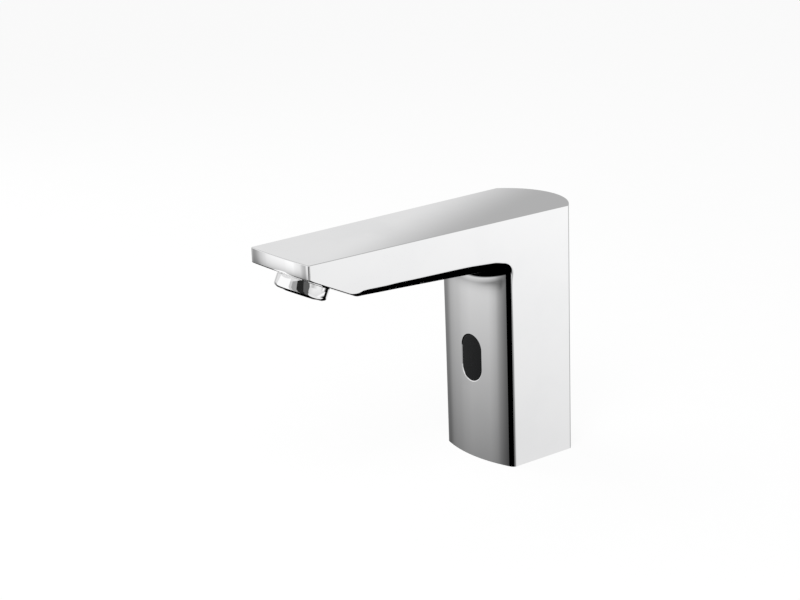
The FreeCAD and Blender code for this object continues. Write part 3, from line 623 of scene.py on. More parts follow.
@dataclass
class Casting:
    """The chromed casting: a skin swept under the spout and down the column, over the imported
    part's own hollows.

    The sweep follows a side profile of four straight faces, the tip, the chamfer under it, the
    underside and the column's front, which bends join. Each face bows outwards across the tap,
    and its side edges are rounded by tables of (place, radius). The roll tables, of places and
    degrees, lean normals as hand polishing rolls a face over near its edges.
    """

    top: float = 135.0
    top_round: float = 0.35
    tip_y: float = -147.2
    tip_half: float = 24.1
    rear_y: float = 15.7
    rear_half: float = 28.05
    rear_bow: float = 13.5
    corner_radius: float = 0.9
    corners: tuple = ((-147.2, 134.65), (-147.2, 127.4), (-118.8, 113.62), (-24.3, 109.1),
                      (-24.3, 0.0))
    bends: tuple = (0.9, 10.0, -3.0)
    middle_bends: tuple = (0.9, 10.0, -6.4)
    bows: tuple = (((0, 0.9),), ((0, 0.27), (26.5, 0.72)), ((0, 0.8), (87.0, 2.66)),
                   ((0, 4.9),))
    nose_edges: tuple = ((-8.0, 0.9), (-1.0, 0.9), (2.0, 0.5), (26.0, 0.5))
    under_edges: tuple = ((-117.0, 3.9), (-103.0, 4.2), (-96.0, 4.7), (-86.0, 5.0), (-76.0, 5.4),
                          (-60.0, 6.1), (-51.0, 6.4), (-31.0, 6.0))
    front_edges: tuple = ((103.0, 2.2), (98.0, 1.75), (78.0, 2.3), (55.0, 2.65), (32.0, 2.85),
                          (0.0, 2.95))
    window_half: float = 7.52
    window_straight: float = 5.1
    window_z: float = 55.6
    rim_radius: float = 0.6
    skin_reach: float = 1.1
    roll_across: tuple = ((-22.5, -20.0, -17.0, -14.0, -10.0, -5.0, 6.0, 10.0, 14.0, 17.0, 20.0,
                           22.5),
                          (-12.0, -10.7, -9.2, -7.2, -1.5, 0.0, 0.0, 8.0, 13.0, 13.0, 15.0, 15.4))
    roll_down: tuple = ((127.5, 128.2, 129.0, 130.0, 131.0, 132.0, 134.0),
                        (-2.6, -1.7, -0.5, 0.8, 1.7, 2.4, 3.2))
    roll_neck: tuple = ((92.0, 95.0, 97.0, 98.0, 99.0, 100.5),
                        (0.0, -0.5, -1.5, -2.3, -3.4, -4.3))
    roll_margin: tuple[float, float] = (23.6, 0.6)
    bow_reach: float = 20.0
    face_columns: int = 24
    edge_columns: int = 10
    run_steps: tuple = (1.0, 1.6, 2.4, 3.0)
    bend_steps: tuple = (0.14, 0.4, 0.16)
    rear_steps: tuple[int, int] = (9, 41)
    halvings: int = 40
    rim_steps: int = 7
    round_steps: int = 5
    window_turns: int = 25
    window_wall: float = 2.6
    window_margin: float = 16.0
    window_columns: tuple[int, int] = (7, 17)
    window_pinch: float = 0.03

    def half(self, y: object) -> object:
        """Half the width between the two flat sides at a place along the tap."""
        gain = (self.rear_half - self.tip_half) / (self.rear_y - self.tip_y)
        return self.tip_half + gain * (y - self.tip_y)

    def side_normal(self, sign: float) -> Triple:
        """Outward normal of the near or the far flat side."""
        gain = (self.rear_half - self.tip_half) / (self.rear_y - self.tip_y)
        return (sign, -gain, 0.0)

    def __post_init__(self) -> None:
        """Works out where the straight runs and the bends of the side profile begin."""
        spots = [np.array(c, dtype=float) for c in self.corners]
        ways = [(b - a) / np.linalg.norm(b - a) for a, b in zip(spots, spots[1:])]
        self.face_normals = [np.array((d[1], -d[0])) for d in ways]
        self.face_ways = ways
        lengths = [np.linalg.norm(b - a) for a, b in zip(spots, spots[1:])]
        self.turns = []
        for before, after, bend in zip(self.face_normals, self.face_normals[1:], self.bends):
            self.turns.append(math.acos(float(np.clip(before @ after, -1, 1))))
        cuts = [0.0] + [abs(b) * math.tan(t / 2) for b, t in zip(self.bends, self.turns)] + [0.0]
        self.pieces = []
        place = 0.0
        for face in range(4):
            run = lengths[face] - cuts[face] - cuts[face + 1]
            start = spots[face] + ways[face] * cuts[face]
            self.pieces.append(("run", face, place, place + run, start))
            place += run
            if face < 3:
                arc = abs(self.bends[face]) * self.turns[face]
                self.pieces.append(("bend", face, place, place + arc, spots[face + 1]))
                place += arc
        self.length = place
        bend, under, front = self.pieces[2], self.pieces[4], self.pieces[6]
        table = [(bend[2] + away, radius) for away, radius in self.nose_edges]
        table += [(under[2] + (y - under[4][0]) / self.face_ways[2][0], radius)
                  for y, radius in self.under_edges]
        table += [(front[2] + front[4][1] - z, radius) for z, radius in self.front_edges]
        self.edge_table = table

    @staticmethod
    def eased(place: float, table: Sequence[tuple[float, float]], reach: float = 1.6) -> float:
        """Looks a place up in a table whose corners are softened over a reach each way."""
        where = place + np.linspace(-reach, reach, 9)
        return float(np.mean(np.interp(where, [t[0] for t in table], [t[1] for t in table])))

    def bow(self, face: int, place: float) -> float:
        """How far a face bows outwards at a place along the path."""
        start = self.pieces[face * 2][2]
        return self.eased(place - start, self.bows[face])

    def rise(self, face: int, place: float, x: np.ndarray, wide: float) -> np.ndarray:
        """Height of a face's bow over its side edges.

        Args:
            face: which straight face.
            place: millimetres along the path.
            x: distances from the middle.
            wide: half the width there.

        Returns:
            The height at each distance.
        """
        bow = self.bow(face, place)
        radius = (wide ** 2 + bow ** 2) / (2 * bow)
        return np.sqrt(radius ** 2 - x ** 2) - (radius - bow)

    def shift(self, corner: int, place: float, x: np.ndarray, wide: float,
              normal: np.ndarray) -> np.ndarray:
        """How far the bows of two faces, and a wider bend in the middle, move their bend.

        Args:
            corner: which bend.
            place: millimetres along the path.
            x: distances from the middle.
            wide: half the width there.
            normal: the path's outward normal.

        Returns:
            The moves (y, z).
        """
        first, second = self.face_normals[corner], self.face_normals[corner + 1]
        shared = float(first @ second)
        before = self.rise(corner, place, x, wide)[:, None] * (first - shared * second)
        after = self.rise(corner + 1, place, x, wide)[:, None] * (second - shared * first)
        wider = (self.middle_bends[corner] - self.bends[corner]) * (1 - (x / wide) ** 2)
        inward = normal - (first + second) / (1 + shared)
        return (before + after) / (1 - shared ** 2) + wider[:, None] * inward

    def path(self, place: float) -> tuple:
        """Finds the piece of the side profile at a place along it.

        Args:
            place: millimetres along the path.

        Returns:
            Its kind, its face or corner, the point (y, z), the outward normal, and how far
            the bends at its start and end are.
        """
        for kind, index, low, high, origin in self.pieces:
            if place <= high or index == 3:
                break
        if kind == "run":
            point = origin + self.face_ways[index] * (place - low)
            return kind, index, point, self.face_normals[index], place - low, high - place
        first, second = self.face_normals[index], self.face_normals[index + 1]
        share = (place - low) / (high - low)
        turn = self.turns[index]
        normal = (math.sin((1 - share) * turn) * first + math.sin(share * turn) * second)
        normal = normal / math.sin(turn)
        bend = self.bends[index]
        centre = origin - bend * (first + second) / (1 + float(first @ second))
        return kind, index, centre + bend * normal, normal, 0.0, 0.0

    def crown(self, place: float, x: np.ndarray) -> tuple:
        """Points of the bowed face, before its side edges are rounded.

        Args:
            place: millimetres along the path.
            x: distances from the middle.

        Returns:
            The points (y, z), the path's normal and half the width there.
        """
        kind, index, point, normal, since, until = self.path(place)
        wide = self.half(point[0])
        if kind == "bend":
            return point + self.shift(index, place, x, wide, normal), normal, wide
        out = self.rise(index, place, x, wide)[:, None] * normal
        total = out.copy()
        reach = min(self.bow_reach, 0.45 * (since + until))
        for corner, away in ((index - 1, since), (index, until)):
            if 0 <= corner < 3 and away < reach:
                share = 1 - away / reach
                fade = share * share * (3 - 2 * share)
                total += fade * (self.shift(corner, place, x, wide, normal) - out)
        return point + total, normal, wide

    def section(self, place: float, across: np.ndarray) -> np.ndarray:
        """One row of the skin.

        Args:
            place: millimetres along the path.
            across: -1 to 1 for the bowed face, and on to -2 or 2 round the side edges.

        Returns:
            The points.
        """
        radius = self.eased(place, self.edge_table)
        wide = self.half(self.path(place)[2][0])
        lean = 0.0
        for _ in range(4):
            start = wide - radius * (1 - math.sin(lean))
            ends = np.array([start - 0.01, start])
            pair, normal, _ = self.crown(place, ends)
            lean = math.atan(float((pair[0] - pair[1]) @ normal) / 0.01)
        size = np.abs(across)
        flat = np.minimum(size, 1.0) * start
        turn = lean + np.maximum(size - 1, 0) * (math.pi / 2 - lean)
        points, normal, _ = self.crown(place, flat)
        drop = np.where(size > 1, radius * (np.cos(turn) - math.cos(lean)), 0.0)
        points = points + drop[:, None] * normal
        out = flat + np.where(size > 1, radius * (np.sin(turn) - math.sin(lean)), 0.0)
        x = np.sign(across) * out * self.half(points[:, 0]) / wide
        return np.stack([x, points[:, 0], points[:, 1]], axis=1)

    def rows(self) -> np.ndarray:
        """Spreads the skin's rows along the path.

        Returns:
            Their places.
        """
        places = []
        for kind, index, low, high, _ in self.pieces:
            step = (self.run_steps if kind == "run" else self.bend_steps)[index]
            count = max(2, math.ceil((high - low) / step))
            places.extend(np.linspace(low, high, count, endpoint=False))
        return np.array(places + [self.length])

    def sweep(self) -> tuple[np.ndarray, np.ndarray, np.ndarray]:
        """Works out the net of the swept skin.

        Returns:
            The places of its rows, its points and its normals.
        """
        edge = np.linspace(1.0, 2.0, self.edge_columns + 1)[1:]
        across = np.concatenate([-edge[::-1], np.linspace(-1, 1, self.face_columns + 1), edge])
        places = self.rows()
        near, aside = 0.02, 5e-4
        points, normals = [], []
        for place in places:
            points.append(self.section(place, across))
            low, high = max(place - near, 0.0), min(place + near, self.length)
            along = self.section(high, across) - self.section(low, across)
            over = (self.section(place, np.clip(across + aside, -2, 2))
                    - self.section(place, np.clip(across - aside, -2, 2)))
            normal = np.cross(along, over)
            normals.append(normal / np.linalg.norm(normal, axis=1, keepdims=True))
        return places, np.array(points), np.array(normals)

    def outline(self) -> tuple[np.ndarray, np.ndarray]:
        """Draws the rounded rear of the plan, from the near flat side to the far one.

        Returns:
            Its points (x, y) and their outward normals.
        """
        wide, radius = self.rear_half, self.corner_radius
        arc = (wide ** 2 + self.rear_bow ** 2) / (2 * self.rear_bow)
        centre = np.array((0.0, self.rear_y + self.rear_bow - arc))
        side = np.array(self.side_normal(1.0)[:2])
        side = side / np.linalg.norm(side)
        low, high = self.rear_y - 12.0, self.rear_y + 4.0
        for _ in range(self.halvings):
            y = (low + high) / 2
            inner = np.array((self.half(y), y)) - radius * side
            low, high = (y, high) if np.linalg.norm(inner - centre) < arc - radius else (low, y)
        aim = (inner - centre) / np.linalg.norm(inner - centre)
        first, last = math.atan2(side[1], side[0]), math.atan2(aim[1], aim[0])
        turns = np.linspace(first, last, self.rear_steps[0])
        ways = np.stack([np.cos(turns), np.sin(turns)], axis=1)
        corner = inner + radius * ways
        sweep = np.linspace(last, math.pi - last, self.rear_steps[1])[1:-1]
        rear_ways = np.stack([np.cos(sweep), np.sin(sweep)], axis=1)
        rear = centre + arc * rear_ways
        flip = np.array((-1.0, 1.0))
        points = np.concatenate([corner, rear, corner[::-1] * flip])
        return points, np.concatenate([ways, rear_ways, ways[::-1] * flip])

    def window_loops(self) -> tuple[np.ndarray, np.ndarray]:
        """Draws the rounded rim and the wall of the window's opening.

        Returns:
            Loops of points from the face inwards, and their normals.
        """
        around = np.linspace(0, math.pi, self.window_turns)
        turns = np.concatenate([around, around + math.pi])
        lifts = np.repeat((self.window_straight, -self.window_straight), self.window_turns)
        bow = self.bow(3, self.length)
        wide = self.half(self.corners[4][0])
        arc = (wide ** 2 + bow ** 2) / (2 * bow)
        loops, normals = [], []
        steps = [(self.rim_radius * (1 - math.sin(s)), self.rim_radius * (1 - math.cos(s)), s)
                 for s in np.linspace(0, math.pi / 2, self.rim_steps)]
        steps.append((0.0, self.window_wall, math.pi / 2))
        for grow, depth, turn in steps:
            size = self.window_half + grow
            x = size * np.cos(turns)
            z = self.window_z + lifts + size * np.sin(turns)
            y = self.corners[4][0] - (np.sqrt(arc ** 2 - x ** 2) - (arc - bow)) + depth
            face = np.stack([x / arc, -np.sqrt(1 - (x / arc) ** 2), 0 * x], axis=1)
            into = np.stack([-np.cos(turns), 0 * x, -np.sin(turns)], axis=1)
            loops.append(np.stack([x, y, z], axis=1))
            normals.append(math.cos(turn) * face + math.sin(turn) * into)
        loops, normals = np.array(loops), np.array(normals)
        return (np.concatenate([loops, loops[:, :1]], axis=1),
                np.concatenate([normals, normals[:, :1]], axis=1))

    def window_field(self, skin: Skin, points: np.ndarray, normals: np.ndarray,
                     rows: tuple[int, int], columns: tuple[int, int]) -> None:
        """Fills the face between a rectangle of the net and the window's rim.

        The rectangle's sides are pinched in for the search of triangles, so that none joins
        three points of one side.

        Args:
            skin: where the faces go.
            points: the swept net.
            normals: its normals.
            rows: first and last row of the rectangle.
            columns: first and last column of it.
        """
        loops, rims = self.window_loops()
        skin.grid(loops, rims)
        skin.patch(loops[-1][:-1], [(0, -1, 0)])
        (top, foot), (left, right) = rows, columns
        border = ([(top, j) for j in range(left, right)] + [(i, right) for i in range(top, foot)]
                  + [(foot, j) for j in range(right, left, -1)]
                  + [(i, left) for i in range(foot, top, -1)])
        outer = [(points[a], normals[a]) for a in border]
        inner = list(zip(loops[0][:-1], rims[0][:-1]))
        corners = outer + inner
        tall, wide = 17, 12
        flats = [[Vector((p[0] * (1 - pinch * (1 - ((p[2] - self.window_z) / tall) ** 2)),
                          p[2] - pinch * (p[2] - self.window_z) * (1 - (p[0] / wide) ** 2), 0))
                  for p, _ in ring] for ring, pinch in ((outer, self.window_pinch), (inner, 0.0))]
        for triangle in tessellate_polygon(flats):
            skin.patch(*zip(*(corners[index] for index in triangle)))

    def solid(self) -> Skin:
        """Closes the whole outer form, with a blind window.

        Returns:
            The form.
        """
        skin = Skin()
        places, points, normals = self.sweep()
        level = points[:, self.edge_columns + self.face_columns // 2, 2]
        front = places > self.pieces[6][2]
        top = int(np.argmax(front & (level < self.window_z + self.window_margin)))
        foot = int(np.argmax(front & (level < self.window_z - self.window_margin)))
        left, right = (self.edge_columns + column for column in self.window_columns)
        skin.grid(points, self.rolled(points, normals),
                  lambda i, j: not (top <= i < foot and left <= j < right))
        self.window_field(skin, points, normals, (top, foot), (left, right))
        rear, ways = self.outline()
        rim = self.top - self.top_round
        ring = np.concatenate([points[0][:, :2], rear])
        facing = np.concatenate([normals[0][:, :2], ways])
        facing = facing / np.linalg.norm(facing, axis=1, keepdims=True)
        ring, facing = (np.concatenate([v, v[:1]]) for v in (ring, facing))
        edge, edge_normals = [], []
        for swing in np.linspace(0, math.pi / 2, self.round_steps):
            inset = self.top_round * (1 - math.cos(swing))
            lift = np.full((len(ring), 1), rim + self.top_round * math.sin(swing))
            edge.append(np.concatenate([ring - inset * facing, lift], axis=1))
            edge_normals.append(np.concatenate([math.cos(swing) * facing,
                                                0 * lift + math.sin(swing)], axis=1))
        skin.grid(np.array(edge), np.array(edge_normals))
        skin.patch(edge[-1][:-1], [(0, 0, 1)])
        back = np.stack([np.column_stack([rear, np.full(len(rear), z)]) for z in (0.0, rim)])
        skin.grid(back, np.stack([np.column_stack([ways, 0 * ways[:, 0]])] * 2))
        skin.patch(np.concatenate([points[-1], back[0]]), [(0, 0, -1)])
        for sign, column, corner in ((1.0, -1, 0), (-1.0, 0, -1)):
            skin.patch(np.concatenate([points[:, column], back[0][corner][None],
                                       back[1][corner][None]]), [self.side_normal(sign)])
        return skin

    def rolled(self, points: np.ndarray, normals: np.ndarray) -> np.ndarray:
        """Leans the normals of the tip and of the column's top as polishing rolled them over.

        Args:
            points: the swept net.
            normals: its normals.

        Returns:
            The normals with those leant.
        """
        places = self.rows()
        leant = normals.copy()
        tip = np.arange(len(places)) <= np.searchsorted(places, self.pieces[0][3])
        neck = places > self.pieces[6][2]
        limit, fade = self.roll_margin
        for rows, across, down in ((tip, self.roll_across, self.roll_down),
                                   (neck, ((0.0,), (0.0,)), self.roll_neck)):
            x, z = points[rows, :, 0], points[rows, :, 2]
            share = np.clip((limit - np.abs(x)) / fade, 0, 1)[..., None]
            lean = np.stack([np.interp(x, *across), 0 * x, np.interp(z, *down)], axis=-1)
            bent = normals[rows] + share * np.tan(np.radians(lean))
            leant[rows] = bent / np.linalg.norm(bent, axis=-1, keepdims=True)
        return leant

    def pushed_out(self, solid: bpy.types.Mesh) -> bpy.types.Mesh:
        """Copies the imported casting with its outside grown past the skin, its hollows kept.

        Args:
            solid: the closed outer form.

        Returns:
            The copy, in which the openings run straight out through the skin.
        """
        grown = merged_mesh("body", "casting_hollows")
        form = bmesh.new()
        form.from_mesh(grown)
        form.normal_update()
        outside = bmesh.new()
        outside.from_mesh(solid)
        tree = BVHTree.FromBMesh(outside)
        outside.free()
        near = {}
        for vert in form.verts:
            _, normal, _, away = tree.find_nearest(vert.co)
            if away < self.skin_reach * MM:
                near[vert] = normal
        moves = {}
        flush, lost, stretch = 0.02, 0.2, 1.5
        for vert, normal in near.items():
            way = normal.copy()
            walls = []
            for face in vert.link_faces:
                if all(v in near for v in face.verts):
                    continue
                wall = face.normal.copy()
                for other in walls:
                    wall -= wall.dot(other) * other
                if wall.length > flush:
                    walls.append(wall.normalized())
                    way -= way.dot(walls[-1]) * walls[-1]
            if way.length > lost:
                moves[vert] = way.normalized() * self.skin_reach * stretch * MM
        for vert, move in moves.items():
            vert.co += move
        form.to_mesh(grown)
        form.free()
        for face in grown.polygons:
            face.material_index = 1
        return grown

    def build(self, plating: bpy.types.Material, raw: bpy.types.Material) -> None:
        """Makes the casting.

        Args:
            plating: the polished outside.
            raw: the cast metal inside.
        """
        solid = self.solid().mesh("tap_casting")
        hollows = self.pushed_out(solid)
        for mesh in (solid, hollows):
            mesh.materials.clear()
            mesh.materials.append(plating)
            mesh.materials.append(raw)
        mesh = boolean(solid, hollows, "INTERSECT")
        settle_normals(mesh)
        Piece("tap_body", "chrome").place("tap_casting", mesh, [plating, raw], "body")


@dataclass(frozen=True)
class Axis:
    """A line that turned pieces are built along, in millimetres."""

    origin: Triple = (0.0, 0.0, 0.0)
    way: Triple = (0.0, 0.0, 1.0)

    def frame(self) -> tuple[np.ndarray, np.ndarray, np.ndarray]:
        """Works out the line's own directions.

        Returns:
            Two across the line and the one along it.
        """
        along = Vector(self.way).normalized()
        first = Vector((1, 0, 0)) if abs(along.x) < 0.9 else Vector((0, 1, 0))
        second = along.cross(first).normalized()
        return np.array(second.cross(along)), np.array(second), np.array(along)

    def matrix(self, along: float = 0.0) -> Matrix:
        """Moves a form built along +Z in metres onto the line.

        Args:
            along: how far up the line it goes.

        Returns:
            The move.
        """
        turn = Matrix([tuple(way) for way in self.frame()]).transposed().to_4x4()
        return (Matrix.Translation(Vector(self.origin) * MM) @ turn
                @ Matrix.Translation(Vector((0, 0, along)) * MM))


def rounded_run(corners: Sequence[Triple], steps: int = 5) -> list:
    """Rounds the corners of a closed outline.

    Args:
        corners: (across, along, radius) of each corner, turning to the left.
        steps: how many pieces a rounded corner has.

    Returns:
        (point, normal) pairs; a sharp corner stands twice, with two normals.
    """
    spots = [np.array(c[:2], dtype=float) for c in corners]
    run = []
    for index, here in enumerate(spots):
        before, after = spots[index - 1], spots[(index + 1) % len(spots)]
        radius = corners[index][2]
        into = (here - before) / np.linalg.norm(here - before)
        away = (after - here) / np.linalg.norm(after - here)
        first, last = np.array((into[1], -into[0])), np.array((away[1], -away[0]))
        turn = math.acos(float(np.clip(first @ last, -1, 1)))
        if radius <= 0 or turn < 1e-3:
            run += [(here, first), (here, last)]
            continue
        convex = into[0] * away[1] - into[1] * away[0] > 0
        signed = radius if convex else -radius
        centre = here - signed * (first + last) / (1 + float(first @ last))
        for share in np.linspace(0, 1, steps + 1):
            normal = (math.sin((1 - share) * turn) * first + math.sin(share * turn) * last)
            normal = normal / math.sin(turn)
            run.append((centre + signed * normal, normal))
    return run


def turned_skin(axis: Axis, corners: Sequence[Triple],
                count: int = 72) -> Skin:
    """Turns a closed outline round a line.

    Args:
        axis: the line.
        corners: (radius, height, rounding) of the outline, turning to the left.
        count: how many faces go round.

    Returns:
        The skin.
    """
    across, other, along = axis.frame()
    origin = np.array(axis.origin)
    run = rounded_run(corners)
    run.append(run[0])
    turns = np.linspace(0, 2 * math.pi, count + 1)
    rings = [math.cos(t) * across + math.sin(t) * other for t in turns[:-1]]
    rings.append(rings[0])
    points = np.array([[origin + p[0] * ring + p[1] * along for ring in rings] for p, _ in run])
    normals = np.array([[n[0] * ring + n[1] * along for ring in rings] for _, n in run])
    skin = Skin()
    skin.grid(points, normals, lambda i, j: np.linalg.norm(run[i][0] - run[i + 1][0]) > 1e-6)
    return skin


@dataclass
class Piece:
    """Names where a made mesh belongs and puts it there."""

    body: str
    slot: str

    def place(self, name: str, mesh: bpy.types.Mesh, materials: Sequence,
              *nodes: str) -> bpy.types.Object:
        """Dresses a mesh and ties it to its body.

        Args:
            name: what the piece is called.
            mesh: its mesh, in metres and in place.
            materials: what goes in its slots.
            nodes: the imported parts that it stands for.

        Returns:
            The finished piece.
        """
        mesh.materials.clear()
        for material in materials:
            mesh.materials.append(material)
        made = add_object(name, mesh)
        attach(made, self.body)
        if nodes:
            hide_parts(*nodes)
        LOG.info("%s: %d faces, rides on %s", name, len(mesh.polygons), self.body)
        return made


class Flow:
    """A Geometry Nodes tree that is built node by node and then baked to a mesh."""

    def __init__(self, name: str, **sizes: float) -> None:
        """Starts a tree with one named input for each size.

        Args:
            name: what the tree is called.
            sizes: its sizes; a whole number makes a whole input.
        """
        self.tree = bpy.data.node_groups.new(name, "GeometryNodeTree")
        for way in ("INPUT", "OUTPUT"):
            self.tree.interface.new_socket("Geometry", in_out=way,
                                           socket_type="NodeSocketGeometry")
        self.sizes = sizes
        self.keys = {}
        for label, value in sizes.items():
            whole = isinstance(value, int)
            socket = self.tree.interface.new_socket(
                label, in_out="INPUT", socket_type="NodeSocketInt" if whole else "NodeSocketFloat")
            self.keys[label] = socket.identifier
        self.given = self.tree.nodes.new("NodeGroupInput")

    def size(self, label: str) -> bpy.types.NodeSocket:
        """The output that carries a named size."""
        return self.given.outputs[label]

    def add(self, kind: str, feeds: dict | None = None, **settings: object) -> bpy.types.Node:
        """Adds one node.

        Args:
            kind: the node's type, without its usual beginning.
            feeds: sockets or values by input name or number.
            settings: attributes to set on it.

        Returns:
            The node.
        """
        prefix = "" if kind.startswith(("Shader", "Function")) else "GeometryNode"
        made = self.tree.nodes.new(prefix + kind)
        for name, value in settings.items():
            setattr(made, name, value)
        for name, value in (feeds or {}).items():
            if isinstance(value, bpy.types.NodeSocket):
                self.tree.links.new(value, made.inputs[name])
            else:
                made.inputs[name].default_value = value
        return made

    def math(self, operation: str, first: object, second: object = 0.0) -> bpy.types.NodeSocket:
        """Adds a Math node and returns its output."""
        return self.add("ShaderNodeMath", {0: first, 1: second}, operation=operation).outputs[0]

    def combine(self, x: object = 0.0, y: object = 0.0, z: object = 0.0) -> bpy.types.NodeSocket:
        """Joins three numbers into a vector."""
        return self.add("ShaderNodeCombineXYZ", {0: x, 1: y, 2: z}).outputs[0]

    def bake(self, geometry: bpy.types.NodeSocket, material: bpy.types.Material,
             matrix: Matrix) -> bpy.types.Mesh:
        """Ends the tree, runs it once and keeps the plain mesh.

        Args:
            geometry: what the tree makes.
            material: its finish.
            matrix: where the mesh goes.

        Returns:
            The mesh, in place.
        """
        real = self.add("RealizeInstances", {"Geometry": geometry})
        dressed = self.add("SetMaterial", {"Geometry": real.outputs[0], "Material": material})
        end = self.tree.nodes.new("NodeGroupOutput")
        self.tree.links.new(dressed.outputs[0], end.inputs[0])
        holder = add_object(self.tree.name, bpy.data.meshes.new(self.tree.name))
        step = holder.modifiers.new("grow", "NODES")
        step.node_group = self.tree
        for label, value in self.sizes.items():
            step[self.keys[label]] = value
        graph = bpy.context.evaluated_depsgraph_get()
        mesh = bpy.data.meshes.new_from_object(holder.evaluated_get(graph))
        holder.modifiers.remove(step)
        drop_object(holder)
        mesh.transform(matrix)
        return mesh


class Pattern(Enum):
    """The surface effects that finishes share."""

    POLISH = "fine_polish"
    MOTTLE = "soft_mottle"
    BRUSH = "brushed_lines"
    GRAIN = "mould_grain"

    def group(self) -> bpy.types.NodeTree:
        """Builds the effect's node group the first time, and finds it after that.

        Returns:
            The group; it takes a vector and a scale and gives a tone and a height.
        """
        found = bpy.data.node_groups.get(self.value)
        if found:
            return found
        tree = bpy.data.node_groups.new(self.value, "ShaderNodeTree")
        for label, kind, way in (("Vector", "NodeSocketVector", "INPUT"),
                                 ("Scale", "NodeSocketFloat", "INPUT"),
                                 ("Tone", "NodeSocketFloat", "OUTPUT"),
                                 ("Height", "NodeSocketFloat", "OUTPUT")):
            tree.interface.new_socket(label, in_out=way, socket_type=kind)
        graph = Graph(tree)
        given = graph.node("NodeGroupInput").outputs
        end = graph.node("NodeGroupOutput")
        tone, height = self._weave(graph, given["Vector"], given["Scale"])
        graph.feed(end.inputs["Tone"], tone)
        graph.feed(end.inputs["Height"], height)
        return tree

    def _weave(self, graph: Graph, vector: object, scale: object) -> tuple:
        """Adds the nodes of one effect.

        Args:
            graph: the group's tree.
            vector: where on the surface.
            scale: how fine the effect is.

        Returns:
            Its tone and its height.
        """
        def noise(share: float, detail: float, rough: float) -> bpy.types.NodeSocket:
            """Adds a noise.

            Args:
                share: how fine it is, as a share of the effect's scale.
                detail: how many finer layers it has.
                rough: how strong they are.

            Returns:
                Its value.
            """
            made = graph.node("ShaderNodeTexNoise")
            graph.feed(made.inputs["Vector"], vector)
            graph.feed(made.inputs["Scale"], graph.math("MULTIPLY", scale, share))
            made.inputs["Detail"].default_value = detail
            made.inputs["Roughness"].default_value = rough
            return made.outputs["Fac"]

        if self is Pattern.POLISH:
            smear = graph.ramp(noise(0.05, 3.0, 0.6), 0.42, 0.66)
            return smear, noise(0.4, 2.0, 0.5)
        if self is Pattern.MOTTLE:
            return graph.ramp(noise(0.3, 4.0, 0.6), 0.35, 0.65), noise(1.0, 4.0, 0.65)
        if self is Pattern.BRUSH:
            lines = noise(1.0, 6.0, 0.7)
            return graph.ramp(lines, 0.38, 0.62), lines
        cells = graph.node("ShaderNodeTexVoronoi", feature="F1")
        graph.feed(cells.inputs["Vector"], vector)
        graph.feed(cells.inputs["Scale"], scale)
        return graph.ramp(noise(0.25, 3.0, 0.6), 0.35, 0.65), cells.outputs["Distance"]


@dataclass(frozen=True)
class Finish:
    """One material of the tap: its colours, gloss and surface effect."""

    slot: str
    colour: Triple
    other: Triple
    roughness: tuple[float, float]
    metallic: float = 0.0
    pattern: Pattern = Pattern.MOTTLE
    scale: float = 900.0
    stretch: Triple = (1.0, 1.0, 1.0)
    bump: float = 0.1
    depth: float = 0.00002
    coat: float = 0.0
    specular: float = 0.5

    def material(self) -> bpy.types.Material:
        """Builds the material.

        Returns:
            It, with the slot's name.
        """
        made = bpy.data.materials.new("finish_" + self.slot)
        made.use_nodes = True
        graph = Graph(made.node_tree)
        shader = made.node_tree.nodes["Principled BSDF"]
        place = graph.node("ShaderNodeMapping")
        graph.feed(place.inputs["Vector"], graph.node("ShaderNodeTexCoord").outputs["Object"])
        place.inputs["Scale"].default_value = self.stretch
        effect = graph.node("ShaderNodeGroup")
        effect.node_tree = self.pattern.group()
        graph.feed(effect.inputs["Vector"], place.outputs[0])
        effect.inputs["Scale"].default_value = self.scale
        tone = effect.outputs["Tone"]
        graph.feed(shader.inputs["Base Color"],
                   graph.blend(tone, (*self.colour, 1.0), (*self.other, 1.0)))
        graph.feed(shader.inputs["Roughness"],
                   graph.ramp(tone, 0.0, 1.0, *self.roughness, smooth=False))
        relief = graph.node("ShaderNodeBump")
        relief.inputs["Strength"].default_value = self.bump
        relief.inputs["Distance"].default_value = self.depth
        graph.feed(relief.inputs["Height"], effect.outputs["Height"])
        graph.feed(shader.inputs["Normal"], relief.outputs[0])
        shader.inputs["Metallic"].default_value = self.metallic
        shader.inputs["Coat Weight"].default_value = self.coat
        shader.inputs["Specular IOR Level"].default_value = self.specular
        return made


